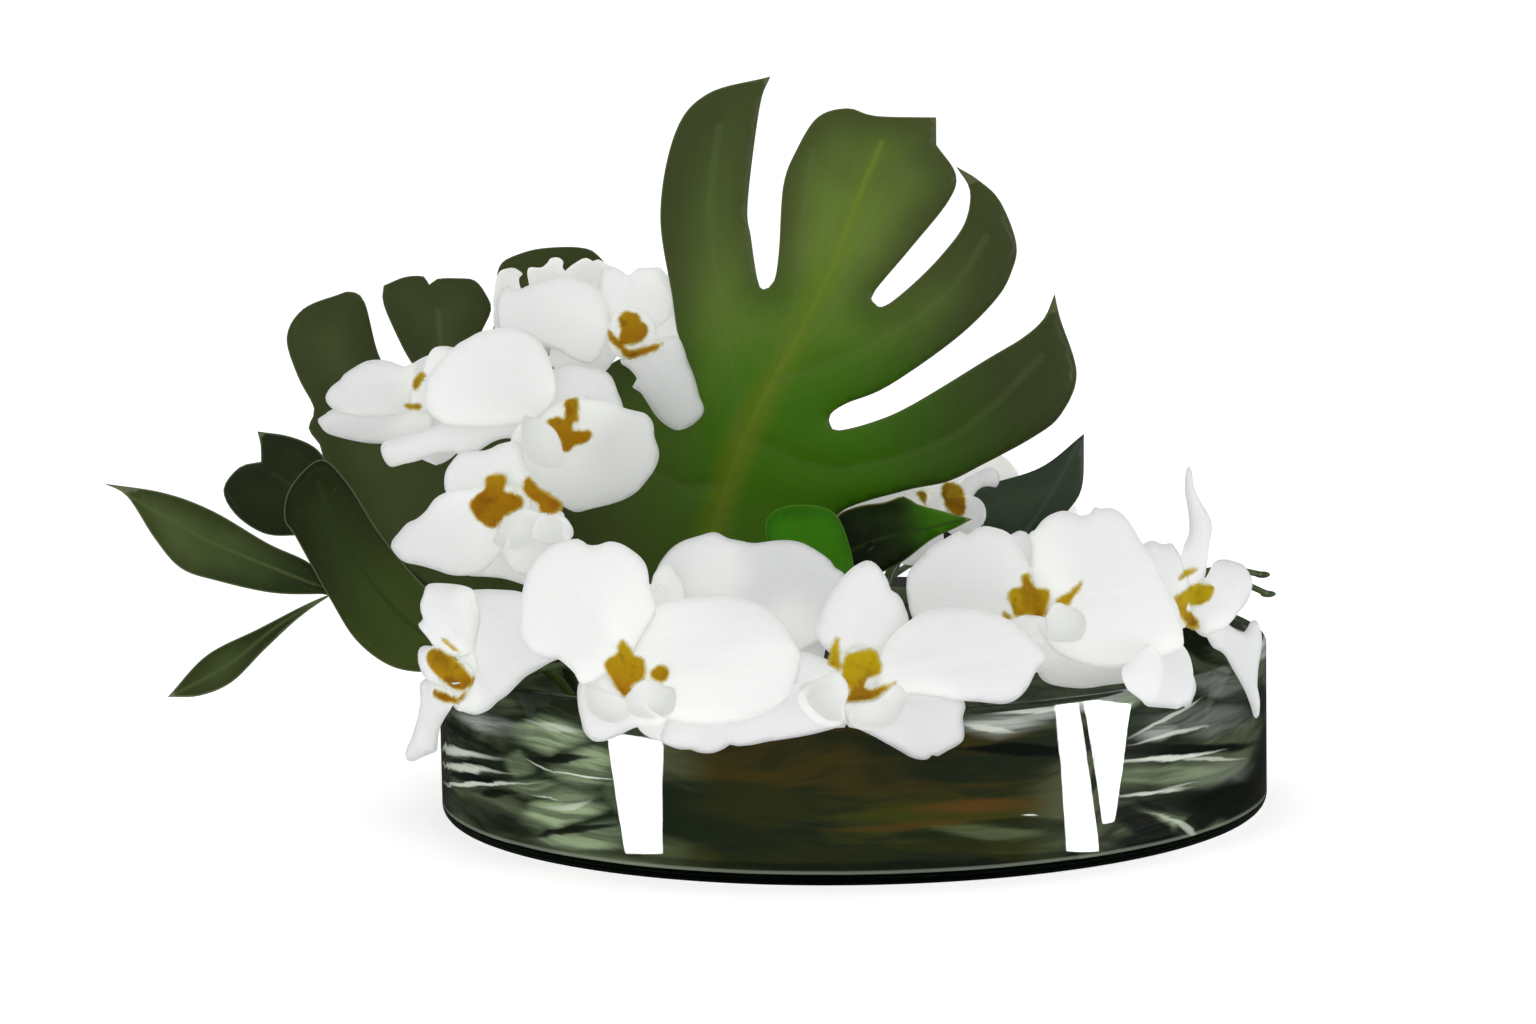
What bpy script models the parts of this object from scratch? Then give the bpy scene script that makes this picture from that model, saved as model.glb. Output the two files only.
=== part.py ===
# Orchids and broad leaves in a low round glass bowl.
# All sizes below are in millimetres; the meshes are written in metres.
# Origin at the centre of the bowl's foot, X to the right, Y to the back, Z up.
import bpy
import bmesh
import numpy as np
from math import cos, pi, radians, sin
from mathutils import Vector
from mathutils.geometry import delaunay_2d_cdt

for old in list(bpy.data.objects):
    bpy.data.objects.remove(old, do_unlink=True)

mm = 0.001
gap = 0.3                     # air left between neighbouring pieces

# bowl
bowl_radius = 150.0
bowl_height = 60.0
wall = 4.0
base_thick = 5.0
foot_round = 4.0
rim_round = 1.6
bowl_steps = 40

# foam block that holds every stem
foam_radius = 110.0
foam_top = 42.0
foam_steps = 24

# leaf strips that line the wall: first angle, last angle, radius, height
lining_thick = 0.8
lining_rows = 16
lining_wave = 2.5             # rise and fall of the upper edge
linings = {
    "lining_front": (188, 318, 145.3, 54),
    "lining_right": (300, 432, 143.9, 50),
    "lining_back": (60, 202, 142.5, 52),
}

# tepals and lips
tepal_thick = 0.8
petal_shape = dict(widest=0.52, claw=0.13, blunt=0.50, rows=3, cols=4, layer=1.2)
sepal_shape = dict(widest=0.50, claw=0.20, blunt=0.62, rows=3, cols=2, layer=-1.2)
tepal_bow = 0.05              # arch of a tepal, as a share of its length
tepal_cup = -2.5              # how far the long edges bend back
tepal_start = 2.0             # where a tepal begins, out from the hub's centre
least_width = 2.0             # of a tepal at its ends
hub_radii = (4.2, 4.2, 3.2)
neck_radius = 1.4
neck_length = 6.0

# the middle of a bloom in its own frame: right, up, out of its face
column_ends = ((0, 1.4, 1), (0, 3.4, 9))
column_radii = (2.6, 2.0)
peg_ends = ((0, -3.2, 0), (0, -3.6, 4.0))       # short pin the lip sits in front of
peg_radius = 1.5
tongue_rows = ((-3.0, -0.6, 2.0), (-9.6, 4.0, 4.4), (-14.0, 12.0, 3.4))    # up, out, half-width
tongue_lift = 0.9             # its long edges turn up by this much
tongue_face = (0, 0.5, 0.86)
tongue_thick = 1.0
stub_ends = ((0, -3.6, 4.15 + gap), (0, -3.6, 8.6))
stub_radius = 2.2
lobe_rows = ((1.0, -3.6, 7.0, 1.4), (6.4, -0.8, 9.4, 4.4), (8.8, 5.4, 11.6, 2.6))
lobe_across = (0.4, -0.2, 0.9)                  # the way a lobe's width runs
lobe_cup = 0.4
lobe_face = (-0.86, 0.2, 0.45)
lobe_thick = 0.9

# each bloom: hub, facing (turn to the right, tilt up), and the five tips as
# offset from the hub plus the tepal's width and, where it matters, its twist
blooms = {
    "a": dict(hub=(-80, 16, 168), face=(14, 10), tips=dict(
        left=(-45, 6, 16, 42), right=(24, 34, 14, 34), dorsal=(5, 16, 28, 34),
        lowleft=(-29, 12, -7, 22), lowright=(25, 4, -30, 27))),
    "b": dict(hub=(-156, 10, 150), face=(-24, 10), tips=dict(
        left=(-34, 14, 5, 30), right=(24, 14, 4, 34), dorsal=(8, 18, 14, 24),
        lowleft=(-38, 14, -8, 28), lowright=(6, 8, -26, 26))),
    "c": dict(hub=(-100, -32, 143), face=(-4, 5), tips=dict(
        left=(-48, 10, 23, 46), right=(24, 2, -24, 50), dorsal=(13, 10, 22, 34),
        lowleft=(-67, 16, -13, 24), lowright=(-8, 12, -24, 28))),
    "d": dict(hub=(-123, -60, 121), face=(-15, 5), tips=dict(
        left=(-38, -8, -18, 34), right=(26, 18, -8, 28), dorsal=(-16, 12, 20, 32),
        lowleft=(-9, 6, -32, 28), lowright=(16, -6, -26, 30))),
    "e": dict(hub=(-137, -98, 65), face=(-40, 5), tips=dict(
        left=(-16, 16, 20, 30), right=(31, -16, 15, 48), dorsal=(-9, 4, 33, 30),
        lowleft=(-18, 4, -26, 20), lowright=(10, -12, -14, 30))),
    "f": dict(hub=(-74, -158, 76), face=(-6, 8), tips=dict(
        left=(-32, 12, 39, 52), right=(56, -4, 6, 46), dorsal=(9, 14, 27, 32),
        lowleft=(-17, 0, -24, 24), lowright=(20, 10, -24, 26))),
    "g": dict(hub=(-3, -160, 72), face=(8, 4), tips=dict(
        left=(-54, 4, -14, 34), right=(63, 14, 5, 40), dorsal=(6, 10, 40, 34),
        lowleft=(-12, -8, -10, 24), lowright=(33, 2, -25, 32))),
    "h": dict(hub=(65, -124, 91), face=(0, 6), tips=dict(
        left=(-48, 10, 5, 48), right=(48, 8, 3, 54), dorsal=(-7, 22, 24, 30),
        lowleft=(-16, 14, -25, 26), lowright=(24, 22, -32, 30))),
    "i": dict(hub=(113, -88, 82), face=(45, 6), tips=dict(
        left=(-15, -14, 22, 30), right=(30, 26, 4, 34), dorsal=(4, 6, 46, 26),
        lowleft=(-2, -34, -29, 24, -16), lowright=(28, 2, -41, 26, -10))),
    "j": dict(hub=(34, 68, 101), face=(6, 30), tips=dict(
        left=(-34, 12, 10, 34), right=(25, 16, 5, 24), dorsal=(1, 14, 32, 32),
        lowleft=(-18, -10, -21, 26), lowright=(17, -8, -8, 18))),
    "k": dict(hub=(-107, 54, 178), face=(168, 50), tips=dict(
        left=(-22, -8, 11, 30), right=(25, -6, 14, 34), dorsal=(0, -20, 20, 30),
        lowleft=(-18, 8, -16, 28), lowright=(18, 8, -16, 28))),
    "l": dict(hub=(-37, -116, 78), face=(0, 40), tips=dict(
        left=(-27, 22, 30, 44), right=(31, 22, 26, 44), dorsal=(-3, 36, 35, 36),
        lowleft=(-20, 4, 1, 28), lowright=(26, 4, -2, 34))),
    "m": dict(hub=(-84, 92, 92), face=(215, 20)),
    "n": dict(hub=(-30, 120, 88), face=(165, 22)),
    "o": dict(hub=(54, 112, 83), face=(182, 15)),
}
# tips of a bloom that opens evenly: turn from straight up, length, lean back, width
even_tips = dict(left=(-80, 44, 6, 50), right=(80, 44, 6, 50), dorsal=(0, 44, 8, 32),
                 lowleft=(-142, 44, 8, 30), lowright=(142, 44, 8, 30))

# leaves: outline in X and Z (a third value marks a sharp corner), the reference
# point of the depth rule, and the depth rule itself, per 100 mm from that point:
# depth, slope in X, slope in Z, bend in X, bend in Z
leaf_thick = 0.8
leaves = {
    "leaf_hero": dict(
        ref=(0, 180), depth=(30, 2, -8, 5, 0), step=12.0,
        outline=[
            (-51, 144), (-56, 155), (-62, 180), (-67, 213), (-61, 243), (-49, 257),
            (-26, 263, 1), (-30, 252), (-35, 217), (-34, 204), (-32, 189), (-30, 185),
            (-26, 188), (-24, 199), (-22, 223), (-17, 236), (-9, 248), (2, 251), (12, 248),
            (34, 247, 1), (34, 237, 1), (41, 226), (38, 216), (24, 199), (11, 184),
            (10, 180), (12, 178), (16, 179), (26, 187), (36, 197), (44, 208), (46, 220),
            (41, 229, 1), (49, 224), (57, 216), (63, 200), (61, 189), (55, 179), (40, 165),
            (15, 148), (0, 142), (-6, 138), (-6, 134), (-3, 132), (10, 135), (24, 141),
            (51, 157), (65, 165), (73, 172), (77, 181, 1), (79, 172), (85, 151), (79, 136),
            (69, 128), (50, 118), (37, 112), (21, 109), (-2, 102), (-11, 89), (-26, 72),
            (-42, 69), (-53, 77), (-59, 67), (-78, 69), (-96, 79), (-106, 94), (-104, 115),
            (-95, 137), (-82, 150), (-68, 153)],
        stalk=[(-52, 38, 92), (-54, 39, 78), (-53, 38, 52), (-52, 38, 22)]),
    "leaf_rear_left": dict(
        ref=(-130, 150), depth=(66, 10, 30, 0, 0), step=12.0,
        outline=[
            (-198, 141), (-200, 134), (-196, 128, 1), (-190, 108), (-177, 87), (-163, 77),
            (-144, 73), (-128, 74), (-115, 84), (-108, 106), (-106, 131), (-95, 153),
            (-87, 167), (-86, 184), (-92, 194), (-99, 197), (-113, 197), (-122, 195),
            (-128, 192), (-130, 186), (-130, 176), (-132, 166), (-134, 163), (-136, 166),
            (-132, 175), (-134, 181), (-138, 186), (-144, 187), (-152, 187), (-155, 185),
            (-157, 188), (-164, 188), (-172, 185, 1), (-172, 178), (-165, 162), (-158, 149),
            (-162, 144), (-167, 148), (-174, 160), (-179, 179), (-184, 183), (-189, 182),
            (-202, 177), (-208, 167), (-204, 153)],
        stalk=[(-131, 46.2, 84), (-130, 43.2, 74), (-112, 41, 62), (-98, 40, 46), (-96, 40, 22)]),
    "leaf_loop": dict(
        ref=(-150, 100), depth=(-42, -20, 24, 10, 10), step=9.0,
        outline=[
            (-189, 132), (-200, 122), (-202, 111), (-198, 105), (-186, 84), (-176, 69),
            (-162, 60), (-146, 60), (-138, 70), (-139, 80), (-152, 89), (-167, 106),
            (-179, 124)],
        stalk=[(-150, -47, 70), (-140, -47, 68), (-122, -45, 66), (-101, -40, 48),
               (-99, -38, 22)]),
    "leaf_side": dict(
        ref=(-190, 110), depth=(2, -8, 0, 0, 0), step=9.0,
        outline=[
            (-214, 139, 1), (-202, 137), (-192, 132), (-186, 121), (-181, 110), (-187, 103),
            (-202, 101), (-213, 102), (-223, 109), (-227, 118), (-221, 126), (-213, 128, 1),
            (-213, 134)],
        stalk=[(-192, 2, 113), (-182, 2, 108), (-150, 2, 78), (-112, 2, 62), (-103, 2, 46),
               (-102, 2, 22)]),
    "leaf_small": dict(
        ref=(20, 115), depth=(14, 6, 10, 0, 0), step=9.0,
        outline=[
            (-5, 98), (-4, 104), (4, 107), (13, 108), (20, 110), (25, 107), (35, 104),
            (45, 101, 1), (39, 98), (30, 94), (17, 85), (4, 82)],
        stalk=[(8, 11, 93), (3, 11, 84), (1, 11, 60), (1, 11, 22)]),
    "leaf_bright": dict(
        ref=(-10, 100), depth=(-10, 10, 20, 0, 0), step=9.0,
        outline=[
            (-30, 98), (-30, 106), (-24, 110), (-12, 110), (-4, 105), (1, 88), (-2, 79),
            (-13, 75), (-24, 80)],
        stalk=[(-13, -13, 86), (-13, -15, 76), (-14, -16, 52), (-14, -16, 22)]),
    "leaf_rear_right": dict(
        ref=(70, 110), depth=(93, 0, -6, 0, 0), step=9.0,
        outline=[
            (91, 122, 1), (90, 101), (83, 90), (74, 76), (66, 64), (55, 59), (42, 68), (37, 83),
            (42, 97), (51, 102), (74, 109)],
        stalk=[(60, 95.6, 68), (57, 95, 60), (55, 83, 54), (54, 80, 22)]),
    "leaf_sprig_upper": dict(
        ref=(-210, 100), depth=(-30, 10, 6, 0, 0), step=9.0,
        outline=[
            (-265, 126, 1), (-244, 122), (-227, 115), (-208, 103), (-193, 95), (-186, 84, 1),
            (-206, 85), (-226, 90), (-239, 95), (-248, 106), (-257, 121)],
        stalk=[]),
    "leaf_sprig_lower": dict(
        ref=(-200, 60), depth=(-46, 20, 60, 0, 0), step=9.0,
        outline=[
            (-242, 53, 1), (-229, 66), (-211, 74), (-195, 81), (-185, 84.5, 1), (-197, 77),
            (-209, 67), (-220, 57), (-231, 53)],
        stalk=[]),
}
# the sprig is one piece: both leaves and the stem that carries them
sprig_stem = [(-196, -29, 87), (-186, -28, 84.5), (-165, -24, 80), (-135, -18, 70),
              (-106, -14, 56), (-100, -13, 42), (-100, -13, 22)]
stalk_radius = 1.6
sprig_radius = 1.2

# flower stems: main path up from the foam, then for each bloom the points its own
# short stalk runs through, the first one on the main path
spray_radius = 2.0
stalklet_radius = 1.1
sprays = {
    "stem_upper_left": dict(
        main=[(-72, 50, 22), (-72, 50, 50), (-85, 50, 100), (-98, 47, 138), (-104, 42, 160)],
        to=dict(a=[(-103, 43, 157)], b=[(-101, 45, 149)], c=[(-99, 46, 143)],
                d=[(-86, 49.5, 106), (-114, 42, 106)], k=[(-103.5, 42.5, 158)]), buds=[]),
    "stem_front_left": dict(
        main=[(-66, -62, 22), (-66, -62, 50), (-74, -84, 66), (-84, -96, 70)],
        to=dict(e=[(-84, -95, 70)], f=[(-76, -88, 67)], l=[(-68, -70, 58)]), buds=[]),
    "stem_right": dict(
        main=[(46, -58, 22), (46, -58, 50), (58, -76, 70), (88, -64, 80), (120, -42, 88)],
        to=dict(g=[(50, -66, 60)], h=[(58, -75, 70)], i=[(86, -65, 79)]),
        buds=[(139, -34, 96), (143, -32, 88)]),
    "stem_back": dict(
        main=[(10, 66, 22), (10, 66, 50), (14, 78, 66), (20, 84, 78)],
        to=dict(j=[(19, 83, 76)], m=[(12, 72, 60)], n=[(12, 74, 62)], o=[(16, 80, 70), (30, 101, 74)]),
        buds=[]),
}
hole_clear = 0.55             # radial room round a stem in the foam
hole_sides = 6
stem_step = 18.0              # length of one piece of a bent stem
stalklet_lead = 8.0           # straight end of a short stalk behind its bloom
bud_radii = (2.4, 2.4, 4.0)

colours = {
    "glass": (0.90, 0.92, 0.92), "foam": (0.05, 0.10, 0.04), "lining": (0.035, 0.055, 0.03),
    "white": (0.86, 0.87, 0.85), "gold": (0.62, 0.34, 0.02), "stem": (0.10, 0.17, 0.04),
    "hero": (0.05, 0.12, 0.02), "dark": (0.02, 0.045, 0.015), "bright": (0.08, 0.28, 0.02),
}


def material(name, colour, rough, clear=0.0):
    mat = bpy.data.materials.new(name)
    mat.use_nodes = True
    shader = mat.node_tree.nodes["Principled BSDF"]
    shader.inputs["Base Color"].default_value = (*colour, 1.0)
    shader.inputs["Roughness"].default_value = rough
    shader.inputs["Metallic"].default_value = 0.0
    shader.inputs["Transmission Weight"].default_value = clear
    return mat


def solid(name, points, faces):
    """Closed body from points in millimetres; faces are turned outwards."""
    mesh = bpy.data.meshes.new(name)
    mesh.from_pydata([tuple(float(c) * mm for c in p) for p in points], [], faces)
    work = bmesh.new()
    work.from_mesh(mesh)
    bmesh.ops.recalc_face_normals(work, faces=work.faces)
    work.to_mesh(mesh)
    work.free()
    obj = bpy.data.objects.new(name, mesh)
    bpy.context.scene.collection.objects.link(obj)
    return obj


def combine(base, others, operation):
    """Boolean of one body with a group of others, which are used up."""
    group = bpy.data.collections.new("others")
    bpy.context.scene.collection.children.link(group)
    for other in others:
        bpy.context.scene.collection.objects.unlink(other)
        group.objects.link(other)
    step = base.modifiers.new("combine", "BOOLEAN")
    step.operation = operation
    step.operand_type = "COLLECTION"
    step.collection = group
    step.solver = "EXACT"
    bpy.context.view_layer.update()
    shape = base.evaluated_get(bpy.context.evaluated_depsgraph_get())
    base.data = bpy.data.meshes.new_from_object(shape)
    base.modifiers.clear()
    for other in others:
        bpy.data.objects.remove(other, do_unlink=True)
    bpy.data.collections.remove(group)


def fuse(name, parts):
    """One named body from overlapping parts."""
    base = parts[0]
    if len(parts) > 1:
        combine(base, parts[1:], "UNION")
    base.name = name
    base.data.name = name
    return base


def finish(obj, mat, smooth=True):
    obj.data.materials.clear()
    obj.data.materials.append(mat)
    for face in obj.data.polygons:
        face.use_smooth = smooth
    return obj


def facing(turn, tilt):
    """Rows: right, up and outward normal of something that faces turn, tilt (degrees)."""
    a, e = radians(turn), radians(tilt)
    normal = np.array([sin(a) * cos(e), -cos(a) * cos(e), sin(e)])
    right = np.cross((0.0, 0.0, 1.0), normal)
    right /= np.linalg.norm(right)
    return np.array([right, np.cross(normal, right), normal])


def sheet_faces(rows, cols):
    """Faces of a closed sheet of rows x cols points a side, both split along the same diagonals."""
    far = rows * cols
    faces = []
    for i in range(rows - 1):
        for j in range(cols - 1):
            a, b = i * cols + j, i * cols + j + 1
            c, d = a + cols + 1, a + cols
            faces += [(a, b, c), (a, c, d), (far + a, far + c, far + b), (far + a, far + d, far + c)]
    edge = list(range(cols))
    edge += [i * cols + cols - 1 for i in range(1, rows)]
    edge += [(rows - 1) * cols + j for j in range(cols - 2, -1, -1)]
    edge += [i * cols for i in range(rows - 2, 0, -1)]
    for k, a in enumerate(edge):
        b = edge[(k + 1) % len(edge)]
        faces += [(a, far + b, b), (a, far + a, far + b)]
    return faces


def slab(name, grid, normal, thick):
    """Closed sheet on both sides of a grid of points."""
    shift = np.array(normal) * thick / 2
    points = list((grid + shift).reshape(-1, 3)) + list((grid - shift).reshape(-1, 3))
    return solid(name, points, sheet_faces(grid.shape[0], grid.shape[1]))


def ball(name, centre, radii, axes, steps=8):
    """Ellipsoid along the given axes."""
    rings = steps // 2
    points = [np.array((0.0, 0.0, 1.0))]
    for i in range(1, rings):
        lat = pi * i / rings
        for j in range(steps):
            lon = 2 * pi * j / steps
            points.append(np.array((sin(lat) * cos(lon), sin(lat) * sin(lon), cos(lat))))
    points.append(np.array((0.0, 0.0, -1.0)))
    last = len(points) - 1
    faces = []
    for j in range(steps):
        k = (j + 1) % steps
        faces.append((0, 1 + j, 1 + k))
        faces.append((last, last - steps + k, last - steps + j))
        for i in range(rings - 2):
            a, b = 1 + i * steps, 1 + (i + 1) * steps
            faces.append((a + j, b + j, b + k, a + k))
    placed = [centre + (p * radii) @ axes for p in points]
    return solid(name, placed, faces)


def smooth_path(points, step):
    """Points every `step` along a Catmull-Rom curve through the given ones."""
    pts = [np.array(p, float) for p in points]
    pts = [2 * pts[0] - pts[1]] + pts + [2 * pts[-1] - pts[-2]]
    out = []
    for k in range(1, len(pts) - 2):
        a, b, c, d = pts[k - 1:k + 3]
        count = max(1, round(np.linalg.norm(c - b) / step))
        for i in range(count):
            t = i / count
            out.append(0.5 * (2 * b + (c - a) * t + (2 * a - 5 * b + 4 * c - d) * t * t
                              + (3 * b - a - 3 * c + d) * t ** 3))
    return out + [pts[-2]]


def tube(name, path, radius, sides=8, end_radius=None):
    """Round rod along a path, flat at both ends."""
    end_radius = radius if end_radius is None else end_radius
    path = [np.array(p, float) for p in path]
    points, faces = [], []
    side = None
    for k, p in enumerate(path):
        ahead = path[min(k + 1, len(path) - 1)] - path[max(k - 1, 0)]
        ahead /= np.linalg.norm(ahead)
        if side is None:
            side = np.cross(ahead, (0.31, 0.87, 0.38))
        side = side - ahead * (side @ ahead)
        side /= np.linalg.norm(side)
        other = np.cross(ahead, side)
        r = radius + (end_radius - radius) * k / (len(path) - 1)
        for j in range(sides):
            a = 2 * pi * j / sides
            points.append(p + r * (cos(a) * side + sin(a) * other))
    for k in range(len(path) - 1):
        for j in range(sides):
            a, b = k * sides + j, k * sides + (j + 1) % sides
            faces.append((a, b, b + sides, a + sides))
    faces.append(tuple(range(sides)))
    faces.append(tuple(range(len(points) - sides, len(points))))
    return solid(name, points, faces)


def lathe(name, profile, steps):
    """Solid of revolution; the profile starts and ends on the axis."""
    points = [(0.0, 0.0, profile[0][1])]
    for r, z in profile[1:-1]:
        for j in range(steps):
            a = 2 * pi * j / steps
            points.append((r * cos(a), r * sin(a), z))
    points.append((0.0, 0.0, profile[-1][1]))
    last = len(points) - 1
    faces = []
    for j in range(steps):
        k = (j + 1) % steps
        faces.append((0, 1 + k, 1 + j))
        faces.append((last, last - steps + j, last - steps + k))
        for i in range(len(profile) - 3):
            a, b = 1 + i * steps, 1 + (i + 1) * steps
            faces.append((a + j, a + k, b + k, b + j))
    return solid(name, points, faces)


def arc(cx, cz, radius, first, last, steps):
    return [(cx + radius * cos(radians(a)), cz + radius * sin(radians(a)))
            for a in np.linspace(first, last, steps + 1)]


def make_bowl():
    r, h = bowl_radius, bowl_height
    inner = r - wall
    profile = [(0.0, 0.0)]
    profile += arc(r - foot_round, foot_round, foot_round, -90, 0, 2)
    profile += arc(r - rim_round, h - rim_round, rim_round, 0, 90, 2)
    profile += arc(inner + rim_round, h - rim_round, rim_round, 90, 180, 2)
    profile += arc(inner - foot_round, base_thick + foot_round, foot_round, 0, -90, 2)
    profile += [(0.0, base_thick)]
    return lathe("bowl", profile, bowl_steps)


def half_width(u, shape):
    """Half-width of a tepal, 0 to 1, at u along it."""
    if u < shape["widest"]:
        grown = sin(pi / 2 * u / shape["widest"]) ** 1.15
        return shape["claw"] + (1 - shape["claw"]) * grown
    t = (u - shape["widest"]) / (1 - shape["widest"])
    return max(0.0, 1 - t ** 2) ** shape["blunt"]


def tepal(name, hub, normal, offset, width, shape, twist=0.0):
    """One petal or sepal from the hub to its tip."""
    tip = hub + np.array(offset, float)
    along = tip - hub
    length = np.linalg.norm(along)
    along /= length
    side = np.cross(normal, along)
    side /= np.linalg.norm(side)
    face = np.cross(along, side)
    side = side * cos(radians(twist)) + face * sin(radians(twist))
    face = np.cross(along, side)
    start = hub + normal * shape["layer"] + along * tepal_start
    grid = np.zeros((shape["rows"] + 1, shape["cols"] + 1, 3))
    for i in range(shape["rows"] + 1):
        u = 1 - (1 - i / shape["rows"]) ** 1.5
        share = max(half_width(u, shape), least_width / width)
        middle = start + (tip - start) * u + face * (4 * tepal_bow * length * u * (1 - u))
        for j in range(shape["cols"] + 1):
            v = -1 + 2 * j / shape["cols"]
            grid[i, j] = middle + side * (width / 2 * share * v) + face * (tepal_cup * v * v * share)
    return slab(name, grid, face, tepal_thick)


def bloom_tips(bloom, axes):
    if "tips" in bloom:
        return bloom["tips"]
    tips = {}
    for part, (turn, length, back, width) in even_tips.items():
        a = radians(turn)
        tips[part] = (*(np.array((length * sin(a), length * cos(a), -back)) @ axes), width)
    return tips


def make_bloom(key, bloom):
    """White tepals on a small hub with neck, column and pale lip, all one body."""
    axes = facing(*bloom["face"])
    hub = np.array(bloom["hub"], float)

    def local(*p):
        return hub + np.array(p, float) @ axes

    parts = [ball("hub", hub, np.array(hub_radii), axes)]
    for part, spec in bloom_tips(bloom, axes).items():
        shape = petal_shape if part in ("left", "right") else sepal_shape
        twist = spec[4] if len(spec) > 4 else 0.0
        parts.append(tepal(part, hub, axes[2], spec[:3], spec[3], shape, twist))
    parts.append(tube("neck", [hub, local(0, 0, -neck_length)], neck_radius, 6))
    parts.append(tube("column", [local(*p) for p in column_ends], column_radii[0], 6, column_radii[1]))
    parts.append(tube("peg", [local(*p) for p in peg_ends], peg_radius, 5))
    tongue = np.zeros((3, 3, 3))
    for i, (y, z, half) in enumerate(tongue_rows):
        for j in range(3):
            v = j - 1
            tongue[i, j] = local(half * v, y + tongue_lift * abs(v), z)
    parts.append(slab("tongue", tongue, np.array(tongue_face) @ axes, tongue_thick))
    return fuse("bloom_%s_petals" % key, parts)


def make_lip(key, bloom):
    """Golden lip: a short stub with two upright lobes."""
    axes = facing(*bloom["face"])
    hub = np.array(bloom["hub"], float)

    def local(*p):
        return hub + np.array(p, float) @ axes

    parts = [tube("stub", [local(*p) for p in stub_ends], stub_radius, 6)]
    for side in (-1, 1):
        mirror = np.array((side, 1, 1))
        lobe = np.zeros((3, 3, 3))
        for i, (x, y, z, half) in enumerate(lobe_rows):
            for j in range(3):
                v = j - 1
                spot = np.array((x, y, z - lobe_cup * abs(v))) + np.array(lobe_across) * v * half
                lobe[i, j] = local(*(spot * mirror))
        parts.append(slab("lobe", lobe, (np.array(lobe_face) * mirror) @ axes, lobe_thick))
    return fuse("bloom_%s_lip" % key, parts)


def leaf_depth(leaf, x, z):
    depth, in_x, in_z, bend_x, bend_z = leaf["depth"]
    u, w = (x - leaf["ref"][0]) / 100, (z - leaf["ref"][1]) / 100
    return depth + in_x * u + in_z * w + bend_x * u * u + bend_z * w * w


def leaf_normal(leaf, x, z):
    depth, in_x, in_z, bend_x, bend_z = leaf["depth"]
    u, w = (x - leaf["ref"][0]) / 100, (z - leaf["ref"][1]) / 100
    n = np.array(((in_x + 2 * bend_x * u) / 100, -1.0, (in_z + 2 * bend_z * w) / 100))
    return n / np.linalg.norm(n)


def leaf_outline(leaf):
    """Outline points, curved between sharp corners."""
    marks = [np.array(p[:2], float) for p in leaf["outline"]]
    sharp = [len(p) > 2 for p in leaf["outline"]]
    count = len(marks)
    out = []
    for k in range(count):
        b, c = marks[k], marks[(k + 1) % count]
        a = 2 * b - c if sharp[k] else marks[k - 1]
        d = 2 * c - b if sharp[(k + 1) % count] else marks[(k + 2) % count]
        pieces = max(1, round(np.linalg.norm(c - b) / leaf["step"]))
        for i in range(pieces):
            t = i / pieces
            out.append(0.5 * (2 * b + (c - a) * t + (2 * a - 5 * b + 4 * c - d) * t * t
                              + (3 * b - a - 3 * c + d) * t ** 3))
    return out


def leaf_blade(name, leaf):
    """Thin closed sheet inside the outline, bent by the depth rule."""
    rim = leaf_outline(leaf)
    low, high = np.min(rim, axis=0), np.max(rim, axis=0)
    step = leaf["step"] * 1.25
    inner = []
    row = 0
    z = low[1] + step / 2
    while z < high[1]:
        x = low[0] + step / 2 + (step / 2 if row % 2 else 0.0)
        while x < high[0]:
            if min(np.hypot(*(np.array((x, z)) - p)) for p in rim) > 0.55 * step:
                inner.append(np.array((x, z)))
            x += step
        z += step * 0.87
        row += 1
    flat = [Vector(p) for p in rim + inner]
    loop = list(range(len(rim)))
    result = delaunay_2d_cdt(flat, [], [loop], 1, 1e-4)
    verts, faces = [np.array(v) for v in result[0]], [tuple(f) for f in result[2]]
    used = sorted({i for f in faces for i in f})
    place = {old: new for new, old in enumerate(used)}
    verts = [verts[i] for i in used]
    faces = [tuple(place[i] for i in f) for f in faces]
    front, back = [], []
    for x, z in verts:
        middle = np.array((x, leaf_depth(leaf, x, z), z))
        normal = leaf_normal(leaf, x, z)
        front.append(middle + normal * leaf_thick / 2)
        back.append(middle - normal * leaf_thick / 2)
    far = len(verts)
    sides = {}
    for f in faces:
        for a, b in zip(f, f[1:] + f[:1]):
            if (b, a) in sides:
                del sides[(b, a)]
            else:
                sides[(a, b)] = True
    skin = list(faces) + [tuple(far + i for i in reversed(f)) for f in faces]
    for a, b in sides:
        skin += [(b, a, far + a), (b, far + a, far + b)]
    return solid(name, front + back, skin)


def make_leaf(name, leaf):
    parts = [leaf_blade(name, leaf)]
    if leaf["stalk"]:
        parts.append(tube("stalk", smooth_path(leaf["stalk"], stem_step), stalk_radius * 0.7, 6,
                          stalk_radius))
    return fuse(name, parts)


def make_sprig():
    parts = [leaf_blade("upper", leaves["leaf_sprig_upper"]),
             leaf_blade("lower", leaves["leaf_sprig_lower"]),
             tube("stem", smooth_path(sprig_stem, stem_step), sprig_radius, 6)]
    return fuse("leaf_sprig", parts)


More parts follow.
